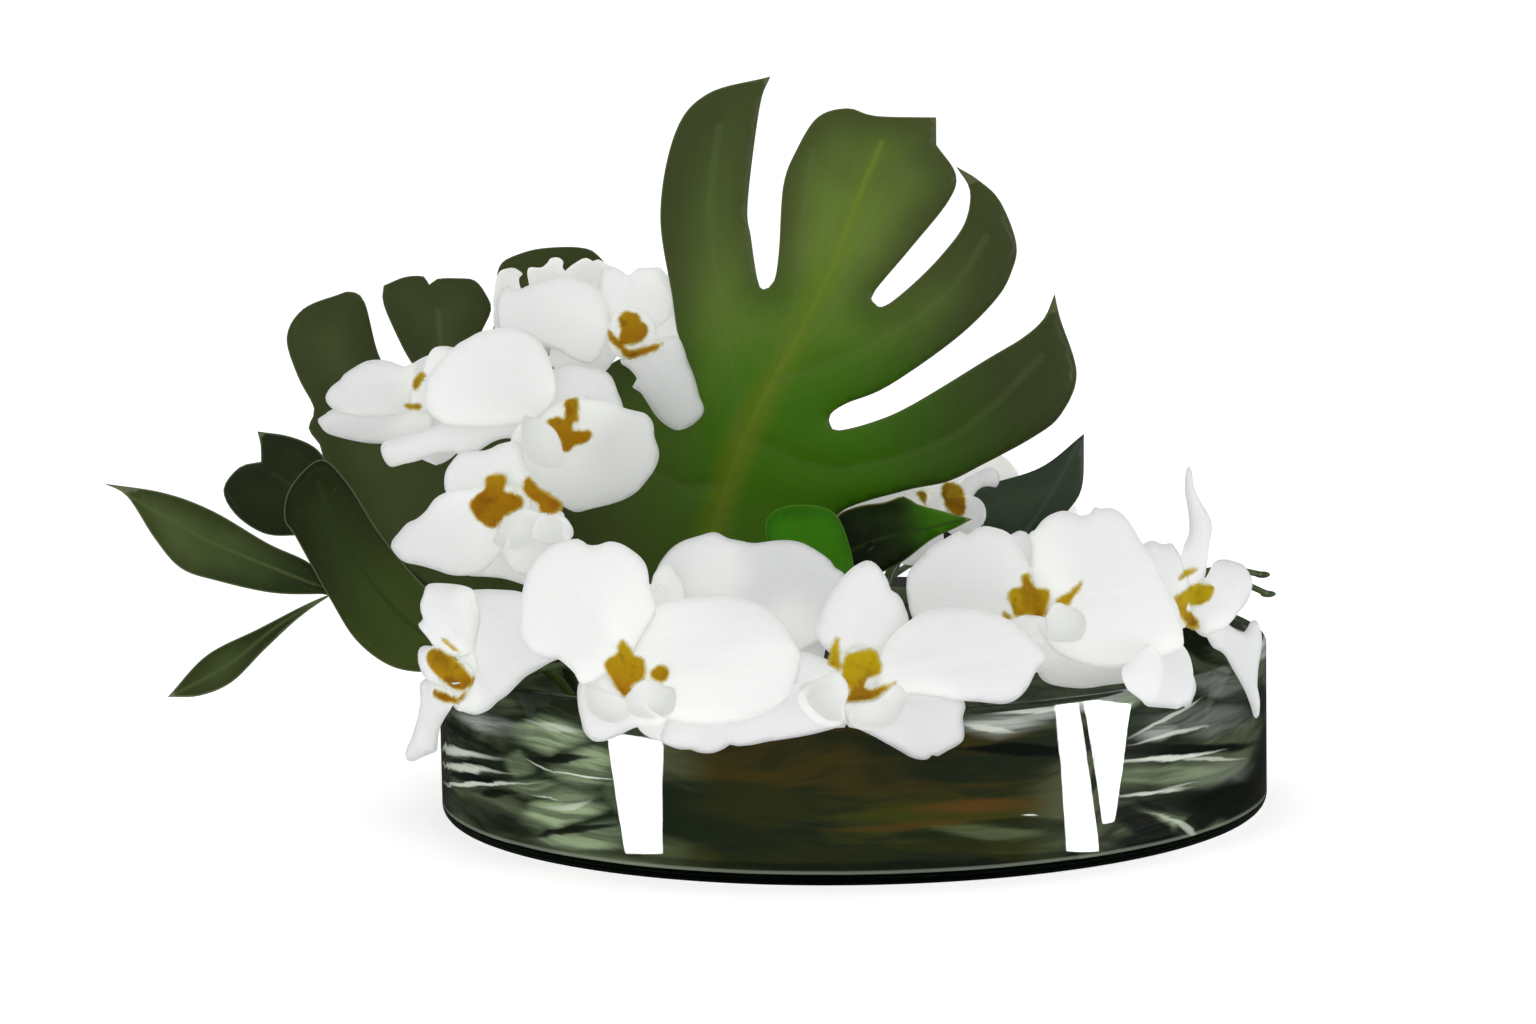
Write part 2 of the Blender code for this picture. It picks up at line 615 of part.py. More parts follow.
def make_spray(name, spray):
    """Main stem with one short stalk per bloom; the stalk ends flat behind the neck."""
    parts = [tube(name, smooth_path(spray["main"], stem_step), spray_radius, 7)]
    for key, route in spray["to"].items():
        normal = facing(*blooms[key]["face"])[2]
        hub = np.array(blooms[key]["hub"], float)
        end = hub - normal * (neck_length + gap)
        bend = end - normal * stalklet_lead
        parts.append(tube("stalklet", route + [bend, end], stalklet_radius, 6))
    for tip in spray["buds"]:
        end = np.array(tip, float)
        start = np.array(spray["main"][-1], float)
        parts.append(tube("bud_stalk", [start, (start + end) / 2 + (0, 0, 2), end],
                          stalklet_radius, 6))
        parts.append(ball("bud", end, np.array(bud_radii), np.eye(3), 6))
    return fuse(name, parts)


def make_lining(name, spec):
    """Leaf strip standing inside the wall, its upper edge gently waved."""
    first, last, radius, height = spec
    low = base_thick + foot_round + gap
    cols = 3
    points = []
    for depth in (radius, radius - lining_thick):
        for i in range(lining_rows + 1):
            a = radians(first + (last - first) * i / lining_rows)
            top = height + lining_wave * sin(3.1 * a + radius)
            taper = min(1.0, 4.0 * min(i, lining_rows - i) / lining_rows + 0.35)
            for j in range(cols):
                z = low + (top - low) * taper * j / (cols - 1)
                points.append((depth * cos(a), depth * sin(a), z))
    return solid(name, points, sheet_faces(lining_rows + 1, cols))


def foam_holes():
    """Foot path and radius of every stem that stands in the foam."""
    rods = [(leaf["stalk"], stalk_radius) for leaf in leaves.values() if leaf["stalk"]]
    rods.append((sprig_stem, sprig_radius))
    rods += [(list(reversed(spray["main"])), spray_radius) for spray in sprays.values()]
    return rods


def make_foam():
    """Round block with one plain hole for each stem."""
    low = base_thick + gap
    profile = [(0.0, low), (foam_radius, low), (foam_radius, foam_top), (0.0, foam_top)]
    block = lathe("foam", profile, foam_steps)
    cutters = []
    for path, radius in foam_holes():
        foot = np.array(path[-1], float) - (0, 0, 1.0)
        near = [p for p in smooth_path(path, stem_step) if p[2] < foam_top + 2 * stem_step]
        cutters.append(tube("hole", near + [foot], radius + hole_clear, hole_sides))
    combine(block, cutters, "DIFFERENCE")
    return block


leaf_colours = {"leaf_hero": "hero", "leaf_bright": "bright"}

finish(make_bowl(), material("bowl", colours["glass"], 0.03, 1.0))
finish(make_foam(), material("foam", colours["foam"], 0.95), smooth=False)
for name, spec in linings.items():
    finish(make_lining(name, spec), material(name, colours["lining"], 0.35))
for name, leaf in leaves.items():
    if name.startswith("leaf_sprig"):
        continue
    tone = colours[leaf_colours.get(name, "dark")]
    finish(make_leaf(name, leaf), material(name, tone, 0.35))
finish(make_sprig(), material("leaf_sprig", colours["dark"], 0.4))
for name, spray in sprays.items():
    finish(make_spray(name, spray), material(name, colours["stem"], 0.5))
for key, bloom in blooms.items():
    petals = make_bloom(key, bloom)
    finish(petals, material(petals.name, colours["white"], 0.45))
    lip = make_lip(key, bloom)
    finish(lip, material(lip.name, colours["gold"], 0.4))
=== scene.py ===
# White orchids and broad leaves in a low round glass bowl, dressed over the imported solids.
# Sizes are in millimetres unless a line says otherwise; makePiece turns them into metres.
import bpy
import numpy as np
from math import cos, pi, radians, sin
from mathutils import Matrix, Vector
from mathutils.bvhtree import BVHTree
from mathutils.geometry import delaunay_2d_cdt


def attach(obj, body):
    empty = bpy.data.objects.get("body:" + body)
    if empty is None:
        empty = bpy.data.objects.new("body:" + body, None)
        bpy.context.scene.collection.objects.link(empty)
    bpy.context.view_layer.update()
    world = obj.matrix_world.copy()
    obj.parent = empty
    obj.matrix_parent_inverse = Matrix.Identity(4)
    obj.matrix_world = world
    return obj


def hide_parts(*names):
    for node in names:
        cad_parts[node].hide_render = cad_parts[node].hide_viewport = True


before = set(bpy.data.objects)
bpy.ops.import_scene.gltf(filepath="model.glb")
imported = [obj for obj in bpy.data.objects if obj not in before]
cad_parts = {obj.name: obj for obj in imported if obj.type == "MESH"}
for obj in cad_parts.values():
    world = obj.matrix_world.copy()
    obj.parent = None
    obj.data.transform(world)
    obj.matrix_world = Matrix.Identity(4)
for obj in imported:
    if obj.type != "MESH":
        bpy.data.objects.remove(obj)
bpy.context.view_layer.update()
scene = bpy.context.scene
mm = 0.001
print("frame loaded:", len(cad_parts), "solids")


studio = {
    # all lengths here are in metres; the floor reaches floorSize to each side, floorDrop below the foot
    "floorTone": (0.93, 0.93, 0.93), "floorGlow": 0.45, "floorSize": 14.0, "floorDrop": 0.0005,
    "world": 0.79, "gloss": 0.03,
    # soft boxes: place, size, watts; they look at boxAim
    "boxes": [((-1.6, -1.3, 1.9), 1.4, 4.9), ((1.5, 0.6, 2.0), 1.6, 3.8)], "boxAim": (0, 0, 0.1),
    # tall bright windows, seen only as a shine, windowAway from the bowl's middle: turn from the
    # camera's side, sideways reach of the corners (top left, top right, low left, low right), top and
    # bottom height, glow
    "windowAway": 1.5,
    "windows": [(-59.3, (-0.225, 0.225, -0.120, 0.175), (-0.100, -0.412), 125.0),
                (63.5, (-0.310, -0.140, -0.185, 0.085), (0.017, -0.425), 125.0),
                (63.5, (-0.112, 0.385, 0.105, 0.210), (0.035, -0.355), 125.0)],
    # the camera turns pitch degrees down and roll degrees over; lens and sensor are in millimetres
    "camera": (-0.0296, -1.8, 0.357), "pitch": 7.91, "roll": 1.0, "lens": 117.6, "sensor": 36.0,
    "clip": (0.05, 30.0),
}


# node helpers
def newGroup(name, inputs, outputs):
    group = bpy.data.node_groups.new(name, "ShaderNodeTree")
    for label, value in inputs.items():
        kind = "NodeSocketColor" if isinstance(value, tuple) else "NodeSocketFloat"
        socket = group.interface.new_socket(label, in_out="INPUT", socket_type=kind)
        socket.default_value = (*value, 1.0) if isinstance(value, tuple) else value
    for label in outputs:
        group.interface.new_socket(label, in_out="OUTPUT", socket_type="NodeSocketFloat")
    return group, group.nodes.new("NodeGroupInput"), group.nodes.new("NodeGroupOutput")


def feed(tree, socket, value):
    # a socket takes a number, a colour or another node's output
    if isinstance(value, bpy.types.NodeSocket):
        tree.links.new(value, socket)
    elif isinstance(value, tuple) and len(value) == 3 and socket.type == "RGBA":
        socket.default_value = (*value, 1.0)
    else:
        socket.default_value = value


def doMath(tree, operation, a, b=0.0, c=0.0):
    node = tree.nodes.new("ShaderNodeMath")
    node.operation = operation
    for socket, value in zip(node.inputs, (a, b, c)):
        feed(tree, socket, value)
    return node.outputs[0]


def remap(tree, value, low, high, toLow=0.0, toHigh=1.0):
    node = tree.nodes.new("ShaderNodeMapRange")
    node.interpolation_type = "SMOOTHSTEP"
    given = {"Value": value, "From Min": low, "From Max": high, "To Min": toLow, "To Max": toHigh}
    for label, number in given.items():
        feed(tree, node.inputs[label], number)
    return node.outputs["Result"]


def mixColour(tree, factor, a, b):
    node = tree.nodes.new("ShaderNodeMix")
    node.data_type = "RGBA"
    # a mix of colours takes its share at input 0 and the colours at 6 and 7
    for place, value in ((0, factor), (6, a), (7, b)):
        feed(tree, node.inputs[place], value)
    return node.outputs[2]


def combine(tree, x, y, z):
    node = tree.nodes.new("ShaderNodeCombineXYZ")
    for socket, value in zip(node.inputs, (x, y, z)):
        feed(tree, socket, value)
    return node.outputs[0]


def noise(tree, place, scale, detail, rough=0.5):
    node = tree.nodes.new("ShaderNodeTexNoise")
    tree.links.new(place, node.inputs["Vector"])
    feed(tree, node.inputs["Scale"], scale)
    node.inputs["Detail"].default_value = detail
    node.inputs["Roughness"].default_value = rough
    return node.outputs["Fac"]


def objectSpace(tree):
    return tree.nodes.new("ShaderNodeTexCoord").outputs["Object"]


def placeGroup(tree, group, **values):
    node = tree.nodes.new("ShaderNodeGroup")
    node.node_tree = group
    for label, value in values.items():
        feed(tree, node.inputs[label.replace("_", " ")], value)
    return node.outputs


def painted(tree, name):
    # a value that the mesh carries at each point
    node = tree.nodes.new("ShaderNodeAttribute")
    node.attribute_name = name
    return node.outputs["Fac"]


def newMaterial(name, rough, colour=(0.5, 0.5, 0.5)):
    mat = bpy.data.materials.new(name)
    mat.use_nodes = True
    shader = mat.node_tree.nodes["Principled BSDF"]
    shader.inputs["Base Color"].default_value = (*colour, 1.0)
    shader.inputs["Roughness"].default_value = rough
    return mat, mat.node_tree, shader


def addBump(tree, shader, height, distance, strength=1.0):
    node = tree.nodes.new("ShaderNodeBump")
    node.inputs["Distance"].default_value = distance * mm
    node.inputs["Strength"].default_value = strength
    tree.links.new(height, node.inputs["Height"])
    tree.links.new(node.outputs["Normal"], shader.inputs["Normal"])


def makeMottleGroup():
    # soft uneven tone, in the object's own space
    group, given, result = newGroup("Soft Mottle", {"Scale": 60.0, "Low": 0.35, "High": 0.65}, ["Mask"])
    cloud = noise(group, objectSpace(group), given.outputs["Scale"], 4.0)
    mask = remap(group, cloud, given.outputs["Low"], given.outputs["High"])
    group.links.new(mask, result.inputs["Mask"])
    return group


def makeStreakGroup():
    # long streaks that run along a blade and waver a little
    group, given, result = newGroup(
        "Blade Streaks", {"Along": 0.0, "Across": 0.0, "Stretch": 3.0, "Fineness": 12.0, "Waver": 0.3,
                          "Low": 0.4, "High": 0.6}, ["Mask"])
    along, across = given.outputs["Along"], given.outputs["Across"]
    slow = noise(group, combine(group, along, across, 0.0), 2.0, 2.0)
    side = doMath(group, "ADD", across, doMath(group, "MULTIPLY", slow, given.outputs["Waver"]))
    place = combine(group, doMath(group, "MULTIPLY", along, given.outputs["Stretch"]),
                    doMath(group, "MULTIPLY", side, given.outputs["Fineness"]), 0.0)
    streaks = noise(group, place, 1.0, 4.0, 0.6)
    mask = remap(group, streaks, given.outputs["Low"], given.outputs["High"])
    group.links.new(mask, result.inputs["Mask"])
    return group


def makeVeinGroup():
    # thin lines of a leaf from the distances in mm that its mesh carries
    group, given, result = newGroup(
        "Leaf Lines", {"Rib Distance": 9.0, "Vein Distance": 9.0, "Rim Distance": 9.0, "Rib Width": 1.6,
                       "Vein Width": 0.9, "Rim Width": 0.8}, ["Rib", "Vein", "Rim"])
    for line in ("Rib", "Vein", "Rim"):
        share = doMath(group, "DIVIDE", given.outputs[line + " Distance"], given.outputs[line + " Width"])
        fade = remap(group, share, 0.15, 1.0, 1.0, 0.0)
        group.links.new(doMath(group, "MULTIPLY", fade, fade), result.inputs[line])
    return group


mottleGroup = makeMottleGroup()
streakGroup = makeStreakGroup()
veinGroup = makeVeinGroup()


def mottle(tree, scale, low, high):
    return placeGroup(tree, mottleGroup, Scale=scale, Low=low, High=high)[0]


# mesh helpers
class Skin:
    # points, faces and per-point values of one piece while it is being built
    def __init__(self, *names):
        self.points, self.faces = [], []
        self.values = {name: [] for name in names}

    def add(self, points, faces, **values):
        first = len(self.points)
        points = [tuple(p) for p in np.asarray(points, float).reshape(-1, 3)]
        self.points += points
        self.faces += [tuple(i + first for i in f) for f in faces]
        for name, kept in self.values.items():
            given = values.get(name, 0.0)
            kept += list(np.broadcast_to(np.asarray(given, float).ravel(), (len(points),)))


def makePiece(name, skin, material, stands=()):
    mesh = bpy.data.meshes.new(name)
    mesh.from_pydata([tuple(c * mm for c in p) for p in skin.points], [], skin.faces)
    for key, data in skin.values.items():
        layer = mesh.attributes.new(key, "FLOAT", "POINT")
        layer.data.foreach_set("value", np.array(data, np.float32))
    mesh.polygons.foreach_set("use_smooth", [True] * len(mesh.polygons))
    mesh.materials.append(material)
    mesh.update()
    piece = bpy.data.objects.new(name, mesh)
    scene.collection.objects.link(piece)
    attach(piece, "root")
    if stands:
        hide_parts(*stands)
    return piece


def twice(values):
    # the same values for the front and for the back of a sheet
    return np.concatenate([values, values])


def sheetFaces(rows, cols):
    # front, back and rim of a closed sheet of rows x cols points a side
    far = rows * cols
    faces = []
    for i in range(rows - 1):
        for j in range(cols - 1):
            a, b, c, d = i * cols + j, i * cols + j + 1, (i + 1) * cols + j + 1, (i + 1) * cols + j
            faces += [(a, b, c, d), (far + a, far + d, far + c, far + b)]
    edge = list(range(cols)) + [i * cols + cols - 1 for i in range(1, rows)]
    edge += [(rows - 1) * cols + j for j in range(cols - 2, -1, -1)]
    edge += [i * cols for i in range(rows - 2, 0, -1)]
    for k, a in enumerate(edge):
        b = edge[(k + 1) % len(edge)]
        faces.append((a, far + a, far + b, b))
    return faces


def gridNormals(grid):
    du = np.gradient(grid, axis=0)
    dv = np.gradient(grid, axis=1)
    n = np.cross(dv, du)
    size = np.linalg.norm(n, axis=2, keepdims=True)
    return n / np.maximum(size, 1e-9)


def addSheet(skin, grid, thick, toward, **values):
    # thick is a number or one value per point; toward says which way the front faces
    shape = grid.shape[:2]
    normals = gridNormals(grid)
    if np.sum(normals @ np.asarray(toward)) < 0:
        normals = -normals
    half = normals * (np.broadcast_to(thick, shape)[..., None] / 2)
    both = np.concatenate([(grid + half).reshape(-1, 3), (grid - half).reshape(-1, 3)])
    faces = sheetFaces(*shape)
    a, b, c = (both[i] for i in faces[0][:3])
    if np.cross(b - a, c - a) @ normals[0, 0] < 0:
        faces = [f[::-1] for f in faces]
    values = {key: twice(np.broadcast_to(value, shape).ravel()) for key, value in values.items()}
    skin.add(both, faces, **values)


def addBall(skin, centre, radii, axes, steps=20, **values):
    # closed ellipsoid; rows of axes are its own right, up and out
    rings = steps // 2
    lat = pi * np.arange(1, rings) / rings
    lon = 2 * pi * np.arange(steps) / steps
    ring = np.stack([np.outer(np.sin(lat), np.cos(lon)), np.outer(np.sin(lat), np.sin(lon)),
                     np.outer(np.cos(lat), np.ones(steps))], -1).reshape(-1, 3)
    unit = np.concatenate([[(0, 0, 1.0)], ring, [(0, 0, -1.0)]])
    last = len(unit) - 1
    faces = []
    for j in range(steps):
        k = (j + 1) % steps
        faces += [(0, 1 + j, 1 + k), (last, last - steps + k, last - steps + j)]
        for i in range(rings - 2):
            a, b = 1 + i * steps, 1 + (i + 1) * steps
            faces.append((a + j, b + j, b + k, a + k))
    skin.add(np.asarray(centre) + (unit * radii) @ axes, faces, **values)


def curveSpots(a, b, c, d, step):
    # points from b up to c on the smooth curve that runs through all four
    count = max(1, round(np.linalg.norm(c - b) / step))
    spots = []
    for i in range(count):
        t = i / count
        spots.append(0.5 * (2 * b + (c - a) * t + (2 * a - 5 * b + 4 * c - d) * t * t
                            + (3 * b - a - 3 * c + d) * t ** 3))
    return spots


def smoothPath(points, step):
    # smooth open line through the points
    pts = [np.array(p, float) for p in points]
    pts = [2 * pts[0] - pts[1]] + pts + [2 * pts[-1] - pts[-2]]
    out = []
    for k in range(1, len(pts) - 2):
        out += curveSpots(*pts[k - 1:k + 3], step)
    return np.array(out + [pts[-2]])


def addTube(skin, path, radii, sides, **values):
    # round rod along a path with domed ends; radii is a number or one per point
    path = np.asarray(path, float)
    radii = np.broadcast_to(radii, (len(path),))
    lean, dome = (0.31, 0.87, 0.38), 0.5    # a way that no path runs along; bulge of an end in radii
    points, faces, along = [], [], []
    run = 0.0
    for k, p in enumerate(path):
        ahead = path[min(k + 1, len(path) - 1)] - path[max(k - 1, 0)]
        ahead /= np.linalg.norm(ahead)
        side = np.cross(ahead, lean) if k == 0 else side - ahead * (side @ ahead)
        side = side / np.linalg.norm(side)
        other = np.cross(ahead, side)
        run += np.linalg.norm(p - path[max(k - 1, 0)])
        for j in range(sides):
            a = 2 * pi * j / sides
            points.append(p + radii[k] * (cos(a) * side + sin(a) * other))
            along.append(run)
    for k in range(len(path) - 1):
        for j in range(sides):
            a, b = k * sides + j, k * sides + (j + 1) % sides
            faces.append((a, b, b + sides, a + sides))
    for k, way in ((0, -1), (len(path) - 1, 1)):
        ahead = path[min(k + 1, len(path) - 1)] - path[max(k - 1, 0)]
        points.append(path[k] + way * ahead / np.linalg.norm(ahead) * radii[k] * dome)
        along.append(along[k * sides])
    n, last = len(path) * sides, (len(path) - 1) * sides
    for j in range(sides):
        k = (j + 1) % sides
        faces += [(n, k, j), (n + 1, last + j, last + k)]
    skin.add(points, faces, along=along, **values)


def facing(turn, tilt):
    # rows: right, up and outward normal of something that faces turn, tilt (degrees)
    a, e = radians(turn), radians(tilt)
    normal = np.array([sin(a) * cos(e), -cos(a) * cos(e), sin(e)])
    right = np.cross((0.0, 0.0, 1.0), normal)
    right /= np.linalg.norm(right)
    return np.array([right, np.cross(normal, right), normal])


def pathDistance(spots, lines):
    # distance in the plane from each spot to the nearest of some polylines
    best = np.full(len(spots), 1e3)
    for line in lines:
        line = np.asarray(line, float)
        for a, b in zip(line[:-1], line[1:]):
            d = b - a
            t = np.clip(((spots - a) @ d) / (d @ d), 0, 1)
            best = np.minimum(best, np.linalg.norm(spots - a - t[:, None] * d, axis=1))
    return best


def ringDistance(spots, ring):
    # distance in the plane from each spot to a closed line
    return pathDistance(spots, [np.vstack([ring, ring[:1]])])


def isInside(spots, ring):
    ring = np.asarray(ring, float)
    inside = np.zeros(len(spots), bool)
    for a, b in zip(ring, np.roll(ring, -1, axis=0)):
        crosses = (a[1] > spots[:, 1]) != (b[1] > spots[:, 1])
        if crosses.any():
            rise = b[1] - a[1] if b[1] != a[1] else 1e-9
            x = a[0] + (spots[:, 1] - a[1]) * (b[0] - a[0]) / rise
            inside ^= crosses & (spots[:, 0] < x)
    return inside


def closedCurve(marks, step):
    # smooth closed line through the marks
    count, out = len(marks), []
    for k in range(count):
        out += curveSpots(*(np.asarray(marks[(k + i) % count], float) for i in (-1, 0, 1, 2)), step)
    out = np.array(out)
    area = np.sum(out[:, 0] * np.roll(out[:, 1], -1) - np.roll(out[:, 0], -1) * out[:, 1])
    return out if area > 0 else out[::-1]


def fillOutline(ring, step, lines=()):
    # triangles inside a closed line, with points on a staggered grid and along extra lines
    # gap between rows, room along the ring and along the lines, and the gap below which two points are one
    rowGap, offRing, offLines, onePoint = 0.87 * step, 0.5 * step, 0.45 * step, 1e-4
    low, high = ring.min(0), ring.max(0)
    spots, row = [], 0
    for y in np.arange(low[1] + step / 2, high[1], rowGap):
        for x in np.arange(low[0] + (step / 2 if row % 2 else 0.0), high[0], step):
            spots.append((x, y))
        row += 1
    spots = np.array(spots)
    spots = spots[isInside(spots, ring)]
    spots = spots[ringDistance(spots, ring) > offRing]
    if len(lines):
        spots = spots[pathDistance(spots, lines) > offLines]
    flat, edges = [Vector(p) for p in ring], []
    for line in lines:
        first = len(flat)
        flat += [Vector(p) for p in line]
        edges += [(first + i, first + i + 1) for i in range(len(line) - 1)]
    flat += [Vector(p) for p in spots]
    # the mode 1 keeps only the triangles inside the ring
    verts, _, faces = delaunay_2d_cdt(flat, edges, [list(range(len(ring)))], 1, onePoint)[:3]
    verts, faces = np.array([tuple(v) for v in verts]), [tuple(f) for f in faces]
    used = sorted({i for f in faces for i in f})
    place = {old: new for new, old in enumerate(used)}
    return verts[used], [tuple(place[i] for i in f) for f in faces]


def closedShell(front, behind, faces):
    # front and back sheets joined along their open edge
    count = len(front)
    sides = {(a, b) for f in faces for a, b in zip(f, f[1:] + f[:1])}
    shell = list(faces) + [tuple(count + i for i in reversed(f)) for f in faces]
    shell += [(b, a, count + a, count + b) for a, b in sorted(sides) if (b, a) not in sides]
    return np.concatenate([front, behind]), shell


# bowl
bowl = {
    "radius": 150.0, "height": 60.0, "wall": 4.0, "base": 5.0, "footRound": 4.0, "rimRound": 1.7,
    "steps": 160, "arcSteps": 6,
    "clear": (1.0, 1.0, 1.0), "smoke": (0.35, 0.45, 0.36), "smokeDensity": 20.0,    # per metre of glass
    "rough": 0.0, "ior": 1.2,    # low, so the wall shows its windows and not a milky second image
}


def arc(cx, cz, radius, first, last, steps):
    return [(cx + radius * cos(radians(a)), cz + radius * sin(radians(a)))
            for a in np.linspace(first, last, steps + 1)]


def bowlProfile():
    # section of the wall from under the foot, over the rim and down to the inside of the base
    radius, height, inner = bowl["radius"], bowl["height"], bowl["radius"] - bowl["wall"]
    foot, rim, steps = bowl["footRound"], bowl["rimRound"], bowl["arcSteps"]
    profile = arc(radius - foot, foot, foot, -90, 0, steps)
    profile += arc(radius - rim, height - rim, rim, 0, 90, steps)
    profile += arc(inner + rim, height - rim, rim, 90, 180, steps)
    profile += arc(inner - foot, bowl["base"] + foot, foot, 0, -90, steps)
    return profile


def makeGlass():
    mat, tree, shader = newMaterial("clear smoky glass", bowl["rough"], bowl["clear"])
    shader.inputs["Transmission Weight"].default_value = 1.0
    shader.inputs["IOR"].default_value = bowl["ior"]
    # light that falls on the leaves and foam inside passes the wall, as it does through real thin glass
    rays = tree.nodes.new("ShaderNodeLightPath").outputs
    passes = doMath(tree, "MAXIMUM", rays["Is Diffuse Ray"], rays["Is Shadow Ray"])
    tree.links.new(doMath(tree, "SUBTRACT", 1.0, passes), shader.inputs["Alpha"])
    smoke = tree.nodes.new("ShaderNodeVolumeAbsorption")
    smoke.inputs["Color"].default_value = (*bowl["smoke"], 1.0)
    smoke.inputs["Density"].default_value = bowl["smokeDensity"]
    tree.links.new(smoke.outputs[0], tree.nodes["Material Output"].inputs["Volume"])
    return mat


def makeBowl():
    profile, steps = bowlProfile(), bowl["steps"]
    turn = 2 * pi * np.arange(steps) / steps
    points = [(0, 0, 0)]
    for radius, z in profile:
        points += list(np.stack([radius * np.cos(turn), radius * np.sin(turn), np.full(steps, z)], -1))
    points.append((0, 0, bowl["base"]))
    last = len(points) - 1
    faces = []
    for j in range(steps):
        k = (j + 1) % steps
        faces += [(0, 1 + k, 1 + j), (last, last - steps + j, last - steps + k)]
        for i in range(len(profile) - 1):
            a, b = 1 + i * steps, 1 + (i + 1) * steps
            faces.append((a + j, a + k, b + k, b + j))
    skin = Skin()
    skin.add(points, faces)
    makePiece("glassBowl", skin, makeGlass(), ["bowl"])


makeBowl()
print("bowl done")


# leaf strips inside the wall
lining = {
    "thick": 0.6, "low": 3.9, "rows": 150, "cols": 22,
    # first angle, last angle, radius, top height, streak seed
    # the leaves press against the wet wall, so their front lies a little inside the glass
    "front": (186, 318, 146.8, 58, 0.0),
    "right": (300, 432, 147.3, 57, 3.0),
    "back": (60, 202, 146.6, 56, 7.0),
    # wave of the top edge and how it drops at both ends; seat and ripple of the leaf on the wall
    "wave": 1.3, "waveTurns": 3.1, "endSlope": 14.0, "endShare": 0.35, "seat": 0.5,
    "ripple": 0.15, "fineRipple": 0.10,
    "dark": (0.014, 0.022, 0.010), "mid": (0.110, 0.135, 0.075), "brown": (0.050, 0.054, 0.007),
    "rust": (0.056, 0.040, 0.007), "rough": 0.38,
    # angles between which the brown leaf fades in and out, and heights over which it turns rusty
    "brownIn": (238, 252), "brownOut": (290, 302), "rustFrom": (22.0, 36.0),
    # the foot tone, its strength and its heights make a painted highlight: a thin pale line along the foot of
    # the leaves
    "drift": 5.0, "fray": 1.8, "footHighlight": (0.55, 0.60, 0.50), "footHighlightShow": 0.30, "footHighlightHeights": (5.4, 4.6),
    # how far a mark reaches beyond its half sizes, and how pointed its ends and how flat its sides are
    "reach": (1.2, 1.1), "taper": (1.2, 1.6),
}
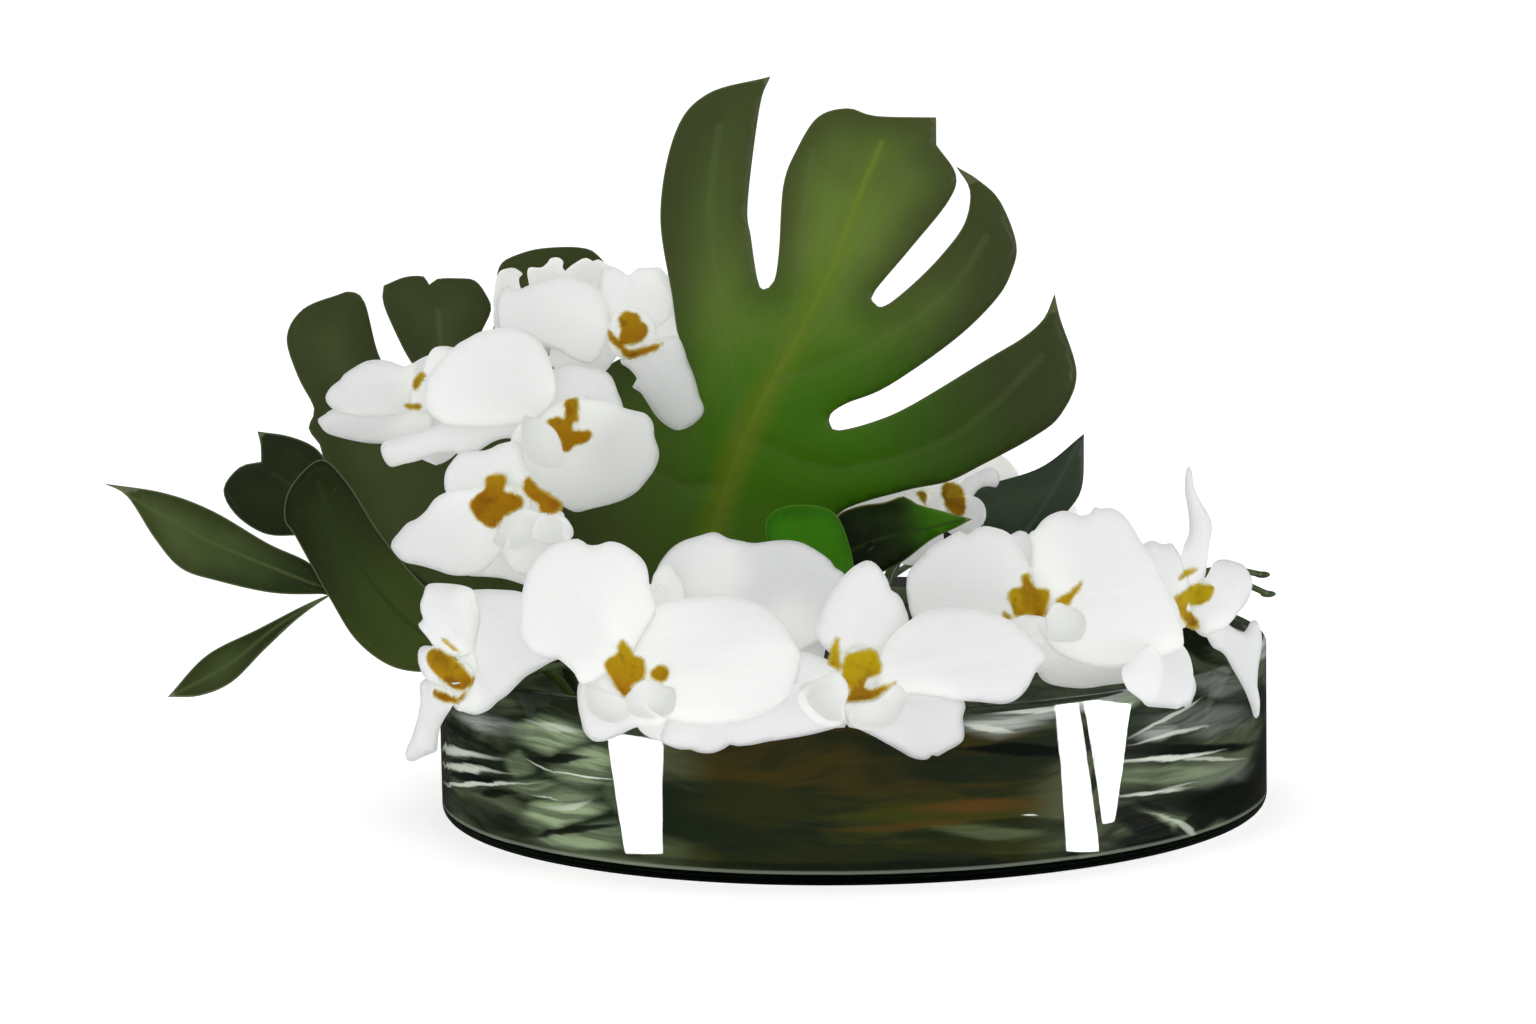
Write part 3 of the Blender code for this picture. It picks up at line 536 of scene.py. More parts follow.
# marks on the wrapped leaves, painted in this order: angle, height, half width in degrees, half height,
# slant, strength; fade says where a mark starts to thin out and where it has gone
strokes = {
    "rusty": dict(
        tone=(0.110, 0.052, 0.010), fade=(0.2, 1.5), grained=False,
        marks=[(286, 25, 8, 2.6, -0.10, 0.85), (277, 20, 9, 1.6, 0.05, 0.50)]),
    "olive": dict(
        tone=(0.030, 0.032, 0.007), fade=(0.2, 1.5), grained=False,
        marks=[(256, 27, 8, 7.0, 0.10, 0.80), (262, 10, 14, 4.0, 0.05, 0.50),
               (282, 12, 9, 3.0, -0.10, 0.50)]),
    # haze: painted light, pale veils for the bright room that the glass wall shows over the leaves
    "haze": dict(
        tone=(0.50, 0.54, 0.50), fade=(0.2, 1.5), grained=True,
        marks=[
            (208, 44, 9, 3.3, 0.10, 0.75), (204, 45, 5, 1.7, 0.05, 0.40), (289, 53, 5, 4.8, -0.19, 0.95),
            (293, 55, 4, 2.7, 0.01, 0.70), (329, 56, 8, 7.0, -0.75, 0.35),
            (325, 43, 12, 5.5, -0.27, 0.30), (303, 58, 14, 3.2, 0.02, 0.75),
            (332, 21, 12, 4.5, -0.30, 0.18), (292, 62, 5, 2.7, 0.03, 0.60),
            (314, 43, 4, 3.3, -0.00, 0.70)]),
    "green": dict(
        tone=(0.36, 0.46, 0.27), fade=(0.4, 1.3), grained=True,
        marks=[
            (223, 45, 7, 5.2, 0.26, 0.95), (232, 39, 4, 4.6, 0.06, 0.80), (216, 33, 3, 4.7, -0.07, 0.75),
            (225, 18, 7, 4.9, 0.60, 1.00), (229, 9, 7, 3.2, 0.08, 0.85), (224, 26, 9, 3.4, 0.16, 0.55),
            (318, 9, 6, 3.7, -1.14, 0.95), (317, 27, 11, 3.3, -0.31, 0.45),
            (288, 16, 7, 3.2, -0.33, 0.18), (229, 34, 6, 6.0, 0.10, 0.62), (235, 14, 5, 5.0, 0.10, 0.42),
            (310, 56, 3, 3.2, 0.24, 0.60), (236, 29, 3, 7.5, 0.24, 0.45)]),
    "shadow": dict(
        tone=(0.004, 0.006, 0.004), fade=(0.5, 1.3), grained=False,
        marks=[
            (225, 38, 6, 1.4, 0.22, 0.95), (201, 26, 10, 1.0, 0.29, 0.90),
            (203, 22, 11, 1.7, 0.34, 0.95), (212, 20, 5, 1.5, 0.33, 0.90), (228, 13, 8, 1.4, 0.50, 0.90),
            (208, 11, 13, 5.6, 0.05, 0.60), (200, 37, 12, 1.4, -0.06, 0.75),
            (292, 43, 8, 2.1, -0.27, 1.00), (322, 34, 18, 2.2, -0.32, 1.00),
            (333, 11, 17, 7.0, -0.25, 0.97), (311, 11, 5, 6.5, -1.31, 0.95),
            (315, 16, 4, 1.5, -1.08, 0.80), (293, 18, 7, 2.1, -0.20, 0.60),
            (221, 57, 6, 3.0, 0.14, 0.40), (186, 22, 9, 26.0, 0.00, 0.75),
            (352, 14, 15, 14.0, 0.00, 0.92), (323, 9, 9, 5.0, 0.20, 0.95), (313, 6, 8, 3.5, -0.30, 0.90),
            (268, 6, 40, 2.2, 0.00, 0.55)]),
    # light: painted highlights, thin pale lines where the glass edges and the rim catch the light
    "light": dict(
        tone=(0.80, 0.84, 0.74), fade=(0.3, 1.35), grained=False,
        marks=[
            (198, 29, 11, 1.9, 0.35, 0.85), (200, 24, 12, 1.3, 0.35, 0.85),
            (204, 20, 14, 0.8, 0.42, 0.90), (221, 34, 3, 0.4, -0.57, 0.60),
            (230, 33, 6, 0.4, 0.03, 0.95), (223, 23, 2, 0.3, 0.34, 0.60), (198, 3, 12, 0.6, 0.04, 0.45),
            (184, 4, 5, 0.8, -0.23, 0.45), (217, 3, 9, 0.3, -0.06, 0.45), (293, 57, 4, 1.0, 0.06, 0.90),
            (288, 51, 3, 1.1, -0.43, 0.80), (317, 33, 10, 1.0, -0.17, 0.95),
            (326, 29, 9, 0.7, -0.43, 0.60), (314, 22, 7, 0.7, -0.20, 0.80),
            (316, 47, 7, 0.8, 0.48, 0.70), (316, 41, 7, 0.7, 0.05, 0.70), (327, 62, 5, 2.2, -0.77, 0.50),
            (318, 9, 5, 1.3, -1.23, 0.60), (293, 21, 1, 0.4, -0.24, 1.00),
            (319, 22, 4, 0.4, -0.17, 0.50), (227, 22, 3, 1.2, 0.77, 0.50),
            (225, 48, 5, 1.0, -0.06, 0.50), (308, 53, 2, 1.5, 0.84, 0.70),
            (358, 57, 13, 3.0, 0.00, 0.90)]),
}


def makeLining(name, key):
    first, last, radius, top, seed = lining[key]
    u = np.linspace(0, 1, lining["rows"])[:, None]
    v = np.linspace(0, 1, lining["cols"])[None, :]
    angle = np.radians(first + (last - first) * u)
    high = top + lining["wave"] * np.sin(lining["waveTurns"] * angle + radius)
    taper = np.minimum(1.0, lining["endSlope"] * np.minimum(u, 1 - u) + lining["endShare"])
    z = lining["low"] + (high - lining["low"]) * taper * v
    ripple = lining["ripple"] * np.sin(9 * angle + 5 * v + seed)
    ripple = ripple + lining["fineRipple"] * np.sin(23 * angle - 7 * v)
    r = radius - lining["seat"] + ripple
    grid = np.stack([r * np.cos(angle), r * np.sin(angle), z], -1)
    middle = radians((first + last) / 2)
    skin = Skin("along", "across", "turn", "high")
    addSheet(skin, grid, lining["thick"], (cos(middle), sin(middle), 0),
             along=u * (last - first) / 60 + seed, across=v + 0 * u, turn=np.degrees(angle) + 0 * v, high=z)
    makePiece(name, skin, liningMaterial, ["lining_" + key])


def patchSum(tree, turn, high, marks, fade):
    # strongest of some slanted marks with pointed ends, given by angle and height
    total = 0.0
    for angle, z, wide, tall, slant, strength in marks:
        across = doMath(tree, "SUBTRACT", turn, float(angle))
        above = doMath(tree, "SUBTRACT", high, float(z))
        above = doMath(tree, "SUBTRACT", above, doMath(tree, "MULTIPLY", across, slant))
        parts = []
        for off, half, reach, taper in zip((across, above), (wide, tall), lining["reach"], lining["taper"]):
            share = doMath(tree, "ABSOLUTE", doMath(tree, "DIVIDE", off, half * reach))
            parts.append(doMath(tree, "POWER", share, taper))
        total = doMath(tree, "MAXIMUM", total, remap(tree, doMath(tree, "ADD", *parts), *fade, strength, 0.0))
    return total


def makeLiningMaterial():
    mat, tree, shader = newMaterial("wrapped leaf", lining["rough"])
    along, across, turn, high = (painted(tree, name) for name in ("along", "across", "turn", "high"))

    def streaks(stretch, fineness, waver, low, high):
        return placeGroup(tree, streakGroup, Along=along, Across=across, Stretch=stretch, Fineness=fineness,
                          Waver=waver, Low=low, High=high)[0]

    broad = streaks(1.2, 2.5, 0.5, 0.42, 0.60)
    fine = streaks(1.6, 11.0, 0.35, 0.42, 0.58)
    split = streaks(2.6, 7.0, 0.5, 0.25, 0.75)
    # the marks drift and fray a little, so that none looks stamped
    place = combine(tree, doMath(tree, "MULTIPLY", along, 2.0), doMath(tree, "MULTIPLY", across, 2.5), 0.0)
    wander = doMath(tree, "SUBTRACT", noise(tree, place, 1.0, 2.0), 0.5)
    markTurn = doMath(tree, "MULTIPLY_ADD", wander, 2 * lining["drift"], turn)
    markHigh = doMath(tree, "MULTIPLY_ADD", wander, -lining["drift"], high)
    markHigh = doMath(tree, "MULTIPLY_ADD", doMath(tree, "SUBTRACT", split, 0.5), lining["fray"], markHigh)
    colour = mixColour(tree, broad, lining["dark"], lining["mid"])
    brownHere = doMath(tree, "MULTIPLY", remap(tree, turn, *lining["brownIn"]),
                       remap(tree, turn, *lining["brownOut"], 1.0, 0.0))
    brown = mixColour(tree, remap(tree, high, *lining["rustFrom"]), lining["brown"], lining["rust"])
    brown = mixColour(tree, doMath(tree, "MULTIPLY", broad, 0.9), lining["dark"], brown)
    colour = mixColour(tree, brownHere, colour, brown)
    grain = doMath(tree, "MULTIPLY_ADD", fine, 0.65, 0.35)
    for kind in strokes.values():
        share = patchSum(tree, markTurn, markHigh, kind["marks"], kind["fade"])
        if kind["grained"]:
            share = doMath(tree, "MULTIPLY", share, grain)
        colour = mixColour(tree, share, colour, kind["tone"])
    # painted highlight: a thin pale line along the foot of the leaves, just above the glass base
    foot = doMath(tree, "MULTIPLY", remap(tree, high, *lining["footHighlightHeights"]), lining["footHighlightShow"])
    colour = mixColour(tree, foot, colour, lining["footHighlight"])
    tree.links.new(colour, shader.inputs["Base Color"])
    shader.inputs["Specular IOR Level"].default_value = 0.05
    addBump(tree, shader, fine, 0.3, 0.4)
    return mat


liningMaterial = makeLiningMaterial()
for side in ("front", "right", "back"):
    makeLining("lining" + side.capitalize(), side)
print("lining done")

# foam
foam = {"dark": (0.022, 0.036, 0.014), "light": (0.085, 0.115, 0.050), "rough": 0.95, "pore": 900.0}


def dressFoam():
    mat, tree, shader = newMaterial("wet floral foam", foam["rough"])
    space = objectSpace(tree)
    pores = noise(tree, space, foam["pore"], 2.0, 0.6)
    patch = mottle(tree, 70.0, 0.3, 0.7)
    colour = mixColour(tree, patch, foam["dark"], foam["light"])
    colour = mixColour(tree, remap(tree, pores, 0.35, 0.6), foam["dark"], colour)
    tree.links.new(colour, shader.inputs["Base Color"])
    addBump(tree, shader, pores, 0.8)
    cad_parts["foam"].data.materials.clear()
    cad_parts["foam"].data.materials.append(mat)


dressFoam()

# leaves
leaves = {
    # outline in X and Z (a third value marks a sharp corner), depth rule per 100 mm from ref, midrib from
    # foot to tip, main side veins, stalk, look
    "hero": dict(
        ref=(0, 180), depth=(30, 2, -8, 5, 0), look="hero", stands=["leaf_hero"],
        outline=[
            (-62, 160), (-63, 180), (-67, 213), (-61, 243), (-49, 257), (-26, 263, 1), (-30, 252),
            (-35, 217), (-34, 204), (-32, 189), (-30, 185), (-26, 188), (-24, 199), (-22, 223),
            (-17, 236), (-9, 248), (2, 251), (12, 248), (34, 247, 1), (34, 237, 1), (41, 226), (38, 216),
            (24, 199), (11, 184), (10, 180), (12, 178), (16, 179), (26, 187), (36, 197), (44, 208),
            (46, 220), (41, 229, 1), (49, 224), (57, 216), (63, 200), (61, 189), (55, 179), (40, 165),
            (15, 148), (0, 142), (-6, 138), (-6, 134), (-3, 132), (10, 135), (24, 141), (51, 157),
            (65, 165), (73, 172), (77, 181, 1), (79, 172), (85, 151), (79, 136), (69, 128), (50, 118),
            (37, 112), (21, 109), (-2, 102), (-11, 89), (-26, 72), (-42, 69), (-53, 77), (-59, 67),
            (-78, 69), (-96, 79), (-106, 94), (-104, 115), (-98, 138), (-92, 152), (-83, 160),
            (-72, 160)],
        # the dusk spots mark painted shade, where the leaf lies in shadow
        heartAt=(-16, 124), duskAt=[(-86, 106), (38, 127), (66, 146), (72, 208)],
        rib=[(-54, 80), (-48, 102), (-42, 120), (-33, 140), (-23, 158), (-12, 178), (-4, 195), (4, 215),
             (14, 238)],
        veins=[
            [(-40, 128), (-41, 150), (-45, 180), (-49, 212), (-45, 245)],
            [(-24, 157), (-19, 178), (-16, 205), (-11, 236)],
            [(-17, 168), (0, 186), (14, 204), (25, 228)],
            [(-27, 150), (-4, 158), (20, 170), (40, 185), (52, 203)],
            [(-37, 130), (-10, 118), (18, 121), (45, 133), (72, 158)],
            [(-45, 112), (-62, 112), (-82, 124), (-94, 134)]],
        stalk=[(-52, 38, 92), (-54, 39, 78), (-53, 38, 52), (-52, 38, 22)]),
    "rearLeft": dict(
        ref=(-130, 150), depth=(66, 10, 30, 0, 0), look="rearLeft", stands=["leaf_rear_left"],
        outline=[
            (-198, 141), (-200, 134), (-196, 128, 1), (-190, 108), (-177, 87), (-163, 77), (-144, 71),
            (-126, 68), (-111, 76), (-104, 100), (-104, 131), (-95, 153), (-87, 167), (-86, 184),
            (-92, 194), (-99, 197), (-113, 197), (-122, 195), (-128, 192), (-130, 186), (-130, 176),
            (-132, 166), (-134, 163), (-136, 166), (-132, 175), (-134, 181), (-138, 186), (-144, 187),
            (-152, 187), (-155, 185), (-157, 188), (-164, 188), (-172, 185, 1), (-172, 178), (-165, 162),
            (-158, 149), (-162, 144), (-167, 148), (-174, 160), (-179, 179), (-184, 183), (-189, 182),
            (-202, 177), (-208, 167), (-204, 153)],
        rib=[(-130, 78), (-138, 99), (-147, 129), (-150, 155), (-152, 176)],
        veins=[[(-136, 95), (-116, 125), (-102, 160), (-100, 185)], [(-141, 110), (-170, 125), (-188, 150)]],
        stalk=[(-131, 46.2, 84), (-130, 43.2, 74), (-112, 41, 62), (-98, 40, 46), (-96, 40, 22)]),
    "loop": dict(
        ref=(-150, 100), depth=(-42, -20, 24, 10, 10), look="loop", stands=["leaf_loop"],
        outline=[
            (-189, 132), (-200, 122), (-202, 111), (-198, 105), (-186, 84), (-176, 69), (-162, 60),
            (-146, 60), (-138, 70), (-139, 80), (-152, 89), (-167, 106), (-179, 124)],
        rib=[(-141, 66), (-160, 78), (-178, 100), (-190, 124)],
        veins=[],
        stalk=[(-150, -47, 70), (-140, -47, 68), (-122, -45, 66), (-101, -40, 48), (-99, -38, 22)]),
    "side": dict(
        ref=(-190, 110), depth=(2, -8, 0, 0, 0), look="dark", stands=["leaf_side"],
        outline=[
            (-214, 139, 1), (-202, 137), (-192, 132), (-186, 121), (-181, 110), (-187, 103), (-202, 101),
            (-213, 102), (-223, 109), (-227, 118), (-221, 126), (-213, 128, 1), (-213, 134)],
        rib=[(-183, 112), (-198, 117), (-209, 124)],
        veins=[],
        stalk=[(-192, 2, 113), (-182, 2, 108), (-150, 2, 78), (-112, 2, 62), (-103, 2, 46), (-102, 2, 22)]),
    "small": dict(
        ref=(20, 115), depth=(14, 6, 10, 0, 0), look="small", stands=["leaf_small"],
        outline=[
            (-5, 98), (-4, 104), (4, 107), (13, 108), (20, 110), (25, 107), (35, 104), (45, 101, 1),
            (39, 98), (30, 94), (17, 85), (4, 82)],
        rib=[(-2, 90), (12, 95), (28, 98), (42, 101)],
        veins=[],
        stalk=[(8, 11, 93), (3, 11, 84), (1, 11, 60), (1, 11, 22)]),
    "bright": dict(
        ref=(-10, 100), depth=(-10, 10, 20, 0, 0), look="bright", stands=["leaf_bright"],
        outline=[
            (-30, 98), (-30, 106), (-24, 110), (-12, 110), (-4, 105), (1, 88), (-2, 79), (-13, 75),
            (-24, 80)],
        rib=[(-11, 78), (-14, 92), (-22, 107)],
        veins=[],
        stalk=[(-13, -13, 86), (-13, -15, 76), (-14, -16, 52), (-14, -16, 22)]),
    "rearRight": dict(
        ref=(70, 110), depth=(93, 0, -6, 0, 0), look="rearRight", stands=["leaf_rear_right"],
        outline=[
            (91, 122, 1), (90, 101), (83, 90), (74, 76), (66, 64), (55, 59), (42, 68), (37, 83),
            (42, 97), (51, 102), (74, 109)],
        rib=[(56, 61), (66, 80), (79, 100), (89, 119)],
        veins=[],
        stalk=[(60, 95.6, 68), (57, 95, 60), (55, 83, 54), (54, 80, 22)]),
    "sprigUpper": dict(
        ref=(-210, 100), depth=(-30, 10, 6, 0, 0), look="sprig", stands=[],
        outline=[
            (-265, 126, 1), (-244, 122), (-227, 115), (-208, 103), (-193, 95), (-186, 84, 1), (-206, 85),
            (-226, 90), (-239, 95), (-248, 106), (-257, 121)],
        rib=[(-188, 86), (-204, 93), (-228, 104), (-245, 114), (-262, 125)], veins=[], stalk=[]),
    "sprigLower": dict(
        ref=(-200, 60), depth=(-46, 20, 60, 0, 0), look="sprig", stands=[],
        outline=[
            (-242, 53, 1), (-229, 66), (-211, 74), (-195, 81), (-185, 84.5, 1), (-197, 77), (-209, 67),
            (-220, 57), (-231, 53)],
        rib=[(-187, 83), (-204, 75), (-221, 63), (-239, 54)], veins=[], stalk=[]),
}
sprigStem = [(-196, -29, 87), (-186, -28, 84.5), (-165, -24, 80), (-135, -18, 70), (-106, -14, 56),
             (-100, -13, 42), (-100, -13, 22)]
blade = {
    "rimStep": 2.4, "lineStep": 2.4, "innerStep": 2.8, "thick": 0.8, "rimThick": 0.4, "rimWide": 3.0,
    # depth or height and half width of the grooves in front, of the ridge behind and of the quilting
    "ribGroove": 0.5, "ribGrooveWide": 1.3, "veinGroove": 0.3, "veinGrooveWide": 0.9,
    "ribRidge": 0.7, "ribRidgeWide": 1.1, "ridgeRim": 4.0, "quilt": 0.9, "quiltWide": 5.0, "quiltRim": 6.0,
    "wave": 0.7, "waveLongX": 17.0, "waveStart": 1.3, "waveLongZ": 13.0,
    "stalkRadius": 1.6, "sprigRadius": 1.2, "stalkStep": 6.0, "stalkSides": 12,
    # stands for the distance to midrib, veins and rim on a stalk, so that it is coloured as plain green
    "stalkOff": 40.0, "noVein": 99.0,
    "sideVeinGap": 7.0, "sideVeinSlant": 50.0, "sideVeinStep": 2.5, "sideVeinSteps": 30,
    "sideVeinBend": 0.965, "sideVeinFrom": 6.0, "sideVeinTo": 4.0, "sideVeinRim": 1.6,
}


def leafOutline(leaf):
    marks = [np.array(p[:2], float) for p in leaf["outline"]]
    sharp = [len(p) > 2 for p in leaf["outline"]]
    count, out = len(marks), []
    for k in range(count):
        b, c = marks[k], marks[(k + 1) % count]
        a = 2 * b - c if sharp[k] else marks[k - 1]
        d = 2 * c - b if sharp[(k + 1) % count] else marks[(k + 2) % count]
        out += curveSpots(a, b, c, d, blade["rimStep"])
    return np.array(out)


def runAlong(line):
    # way from the start of a line to each of its points
    return np.concatenate([[0], np.cumsum(np.linalg.norm(np.diff(line, axis=0), axis=1))])


def sideVeins(rib, ring):
    # fine veins that leave the midrib at a slant and bend towards the tip, kept inside the blade
    lines = []
    length = runAlong(rib)
    for start in np.arange(blade["sideVeinFrom"], length[-1] - blade["sideVeinTo"], blade["sideVeinGap"]):
        k = min(np.searchsorted(length, start), len(rib) - 1)
        t = (start - length[k - 1]) / (length[k] - length[k - 1])
        base = rib[k - 1] + (rib[k] - rib[k - 1]) * t
        ahead = (rib[k] - rib[k - 1]) / np.linalg.norm(rib[k] - rib[k - 1])
        for side in (-1, 1):
            spot, angle, line = base, side * blade["sideVeinSlant"], [base]
            for _ in range(blade["sideVeinSteps"]):
                a = radians(angle)
                way = np.array((ahead[0] * cos(a) - ahead[1] * sin(a), ahead[0] * sin(a) + ahead[1] * cos(a)))
                spot = spot + way * blade["sideVeinStep"]
                onBlade = isInside(spot[None], ring)[0]
                if not onBlade or pathDistance(spot[None], [ring])[0] < blade["sideVeinRim"]:
                    break
                line.append(spot)
                angle *= blade["sideVeinBend"]
            if len(line) > 2:
                lines.append(np.array(line))
    return lines


def depthAt(leaf, x, z):
    depth, inX, inZ, bendX, bendZ = leaf["depth"]
    u, w = (x - leaf["ref"][0]) / 100, (z - leaf["ref"][1]) / 100
    return depth + inX * u + inZ * w + bendX * u * u + bendZ * w * w


def normalAt(leaf, x, z):
    _, inX, inZ, bendX, bendZ = leaf["depth"]
    u, w = (x - leaf["ref"][0]) / 100, (z - leaf["ref"][1]) / 100
    n = np.stack([(inX + 2 * bendX * u) / 100, -np.ones_like(u), (inZ + 2 * bendZ * w) / 100], -1)
    return n / np.linalg.norm(n, axis=1, keepdims=True)


def smoothLine(line):
    # smooth flat line through points in X and Z
    return smoothPath([(*p, 0) for p in line], blade["lineStep"])[:, :2]


def nearestSpot(verts, spots):
    return np.min([np.linalg.norm(verts - spot, axis=1) for spot in spots], axis=0)


def addBlade(skin, leaf):
    ring = leafOutline(leaf)
    rib = smoothLine(leaf["rib"])
    mains = [smoothLine(line) for line in leaf["veins"]]
    veins = mains + ([] if mains else sideVeins(rib, ring))
    verts, faces = fillOutline(ring, blade["innerStep"], [rib] + mains)
    x, z = verts[:, 0], verts[:, 1]
    rimDist, ribDist = ringDistance(verts, ring), pathDistance(verts, [rib])
    veinDist = pathDistance(verts, veins) if veins else np.full(len(verts), blade["noVein"])
    length = runAlong(rib)
    nearest = np.argmin(np.linalg.norm(verts[:, None] - rib[None], axis=2), axis=1)
    calmRim = np.clip(rimDist / blade["rimWide"], 0, 1)
    near = np.minimum(ribDist, veinDist)
    lift = blade["quilt"] * (1 - np.exp(-(near / blade["quiltWide"]) ** 2))
    lift = lift * np.clip(rimDist / blade["quiltRim"], 0, 1)
    lift -= blade["ribGroove"] * np.exp(-(ribDist / blade["ribGrooveWide"]) ** 2) * calmRim
    lift -= blade["veinGroove"] * np.exp(-(veinDist / blade["veinGrooveWide"]) ** 2)
    wave = blade["wave"] * np.sin(x / blade["waveLongX"] + blade["waveStart"])
    wave = wave * np.sin(z / blade["waveLongZ"])
    normal = normalAt(leaf, x, z)
    middle = np.stack([x, depthAt(leaf, x, z), z], -1) + normal * (lift + wave)[:, None]
    thick = blade["rimThick"] + (blade["thick"] - blade["rimThick"]) * calmRim
    ridge = blade["ribRidge"] * np.exp(-(ribDist / blade["ribRidgeWide"]) ** 2)
    back = thick / 2 + ridge * np.clip(rimDist / blade["ridgeRim"], 0, 1)
    # the flat outline runs X, Z, so its faces already look towards -Y
    front, behind = middle + normal * (thick / 2)[:, None], middle - normal * back[:, None]
    points, shell = closedShell(front, behind, faces)
    values = dict(ribDist=ribDist, veinDist=veinDist, rimDist=rimDist, along=length[nearest] / length[-1],
                  fromFoot=np.linalg.norm(verts - rib[0], axis=1),
                  fromHeart=nearestSpot(verts, [leaf.get("heartAt", rib[0])]),
                  fromDusk=nearestSpot(verts, leaf.get("duskAt", [rib[0]])))
    under = np.repeat((0.0, 1.0), len(verts))
    skin.add(points, shell, under=under, **{name: twice(value) for name, value in values.items()})


# colours: rim side, inside, near the midrib's foot, midrib, side veins, thin edge, underside
leafLooks = {
    # on the hero leaf the broad pale bands of the side veins are partly the veins' own colour and partly a
    # painted sheen
    "hero": dict(deep=(0.075, 0.100, 0.022), mid=(0.142, 0.226, 0.034), heart=(0.052, 0.190, 0.0003),
                 rib=(0.17, 0.25, 0.020), vein=(0.17, 0.23, 0.070), edge=(0.13, 0.15, 0.065),
                 under=(0.07, 0.12, 0.04), rough=0.42, deepFrom=-3.0, deepTo=17.0,
                 heartFrom=84.0, heartTo=14.0, ribWidth=2.2, veinWidth=2.8, veinShow=0.13,
                 halo=(0.15, 0.23, 0.010), haloWidth=10.0,
                 haloFrom=190.0, haloTo=20.0, haloLeast=0.15, haloMost=0.85,
                 far=(0.048, 0.066, 0.018), farFrom=16.0, farTo=74.0,
                 tipsFrom=70.0, tipsTo=135.0, tipsShow=0.6,
                 duskFrom=62.0, duskTo=22.0, duskShow=0.7, lineGap=4.2, lineShow=0.10),
    "loop": dict(deep=(0.015, 0.023, 0.006), mid=(0.022, 0.036, 0.008), heart=(0.048, 0.074, 0.011),
                 rib=(0.026, 0.040, 0.011), vein=(0.032, 0.048, 0.016), edge=(0.15, 0.18, 0.10),
                 under=(0.05, 0.08, 0.03), rough=0.36, deepFrom=2.0, deepTo=16.0, heartFrom=78.0, heartTo=8.0,
                 ribWidth=1.6, veinWidth=0.9),
    "dark": dict(deep=(0.020, 0.028, 0.010), mid=(0.030, 0.042, 0.015), heart=(0.024, 0.038, 0.010),
                 rib=(0.040, 0.054, 0.022), vein=(0.032, 0.048, 0.016), edge=(0.15, 0.18, 0.10),
                 under=(0.05, 0.08, 0.03), rough=0.36, deepFrom=2.0, deepTo=16.0, heartFrom=40.0, heartTo=5.0,
                 ribWidth=1.6, veinWidth=0.9),
    "rearLeft": dict(deep=(0.046, 0.062, 0.018), mid=(0.066, 0.086, 0.027), heart=(0.052, 0.074, 0.016),
                     rib=(0.095, 0.118, 0.044), vein=(0.065, 0.085, 0.034), edge=(0.12, 0.14, 0.08),
                     under=(0.05, 0.08, 0.03), rough=0.42, deepFrom=2.0, deepTo=18.0, heartFrom=60.0,
                     heartTo=10.0, ribWidth=2.0, veinWidth=1.1),
    "rearRight": dict(deep=(0.056, 0.082, 0.050), mid=(0.086, 0.118, 0.075), heart=(0.024, 0.040, 0.020),
                      rib=(0.100, 0.128, 0.092), vein=(0.082, 0.108, 0.074), edge=(0.06, 0.08, 0.05),
                      under=(0.05, 0.08, 0.04), rough=0.36, deepFrom=2.0, deepTo=14.0, heartFrom=45.0,
                      heartTo=10.0, ribWidth=1.6, veinWidth=0.9),
    "small": dict(deep=(0.010, 0.024, 0.003), mid=(0.018, 0.040, 0.004), heart=(0.008, 0.014, 0.004),
                  rib=(0.03, 0.06, 0.010), vein=(0.02, 0.045, 0.006), edge=(0.25, 0.24, 0.10),
                  under=(0.05, 0.08, 0.03), rough=0.36, deepFrom=1.0, deepTo=8.0, heartFrom=26.0, heartTo=8.0,
                  ribWidth=1.4, veinWidth=0.8, tip=(0.05, 0.19, 0.002)),
    # the bright leaf's vivid green is partly its own young green and partly painted light shining through the
    # rolled blade
    "bright": dict(deep=(0.028, 0.150, 0.0003), mid=(0.044, 0.250, 0.0003), heart=(0.048, 0.22, 0.0003),
                   rib=(0.07, 0.23, 0.003), vein=(0.05, 0.20, 0.002), edge=(0.10, 0.24, 0.02),
                   under=(0.06, 0.16, 0.02), rough=0.40, deepFrom=1.0, deepTo=8.0, heartFrom=40.0,
                   heartTo=5.0, ribWidth=1.5, veinWidth=0.8),
    "sprig": dict(deep=(0.040, 0.058, 0.014), mid=(0.070, 0.100, 0.026), heart=(0.020, 0.034, 0.008),
                  rib=(0.085, 0.115, 0.035), vein=(0.060, 0.085, 0.022), edge=(0.18, 0.21, 0.11),
                  under=(0.07, 0.11, 0.05), rough=0.42, deepFrom=1.0, deepTo=9.0, heartFrom=66.0, heartTo=5.0,
                  ribWidth=1.2, veinWidth=0.7),
}


def farColour(tree, look, colour, wander, ribDist, fromHeart):
    # darker towards the rim and at the tips; around the dusk spots the darkening is painted shade, where the
    # leaf lies in shadow
    outward = remap(tree, doMath(tree, "ADD", ribDist, wander), look["farFrom"], look["farTo"])
    colour = mixColour(tree, outward, colour, look["far"])
    tips = remap(tree, doMath(tree, "MULTIPLY_ADD", wander, 3.0, fromHeart), look["tipsFrom"], look["tipsTo"])
    colour = mixColour(tree, doMath(tree, "MULTIPLY", tips, look["tipsShow"]), colour, look["far"])
    fromDusk = doMath(tree, "MULTIPLY_ADD", wander, 2.0, painted(tree, "fromDusk"))
    dusk = remap(tree, fromDusk, look["duskFrom"], look["duskTo"])
    return mixColour(tree, doMath(tree, "MULTIPLY", dusk, look["duskShow"]), colour, look["far"])


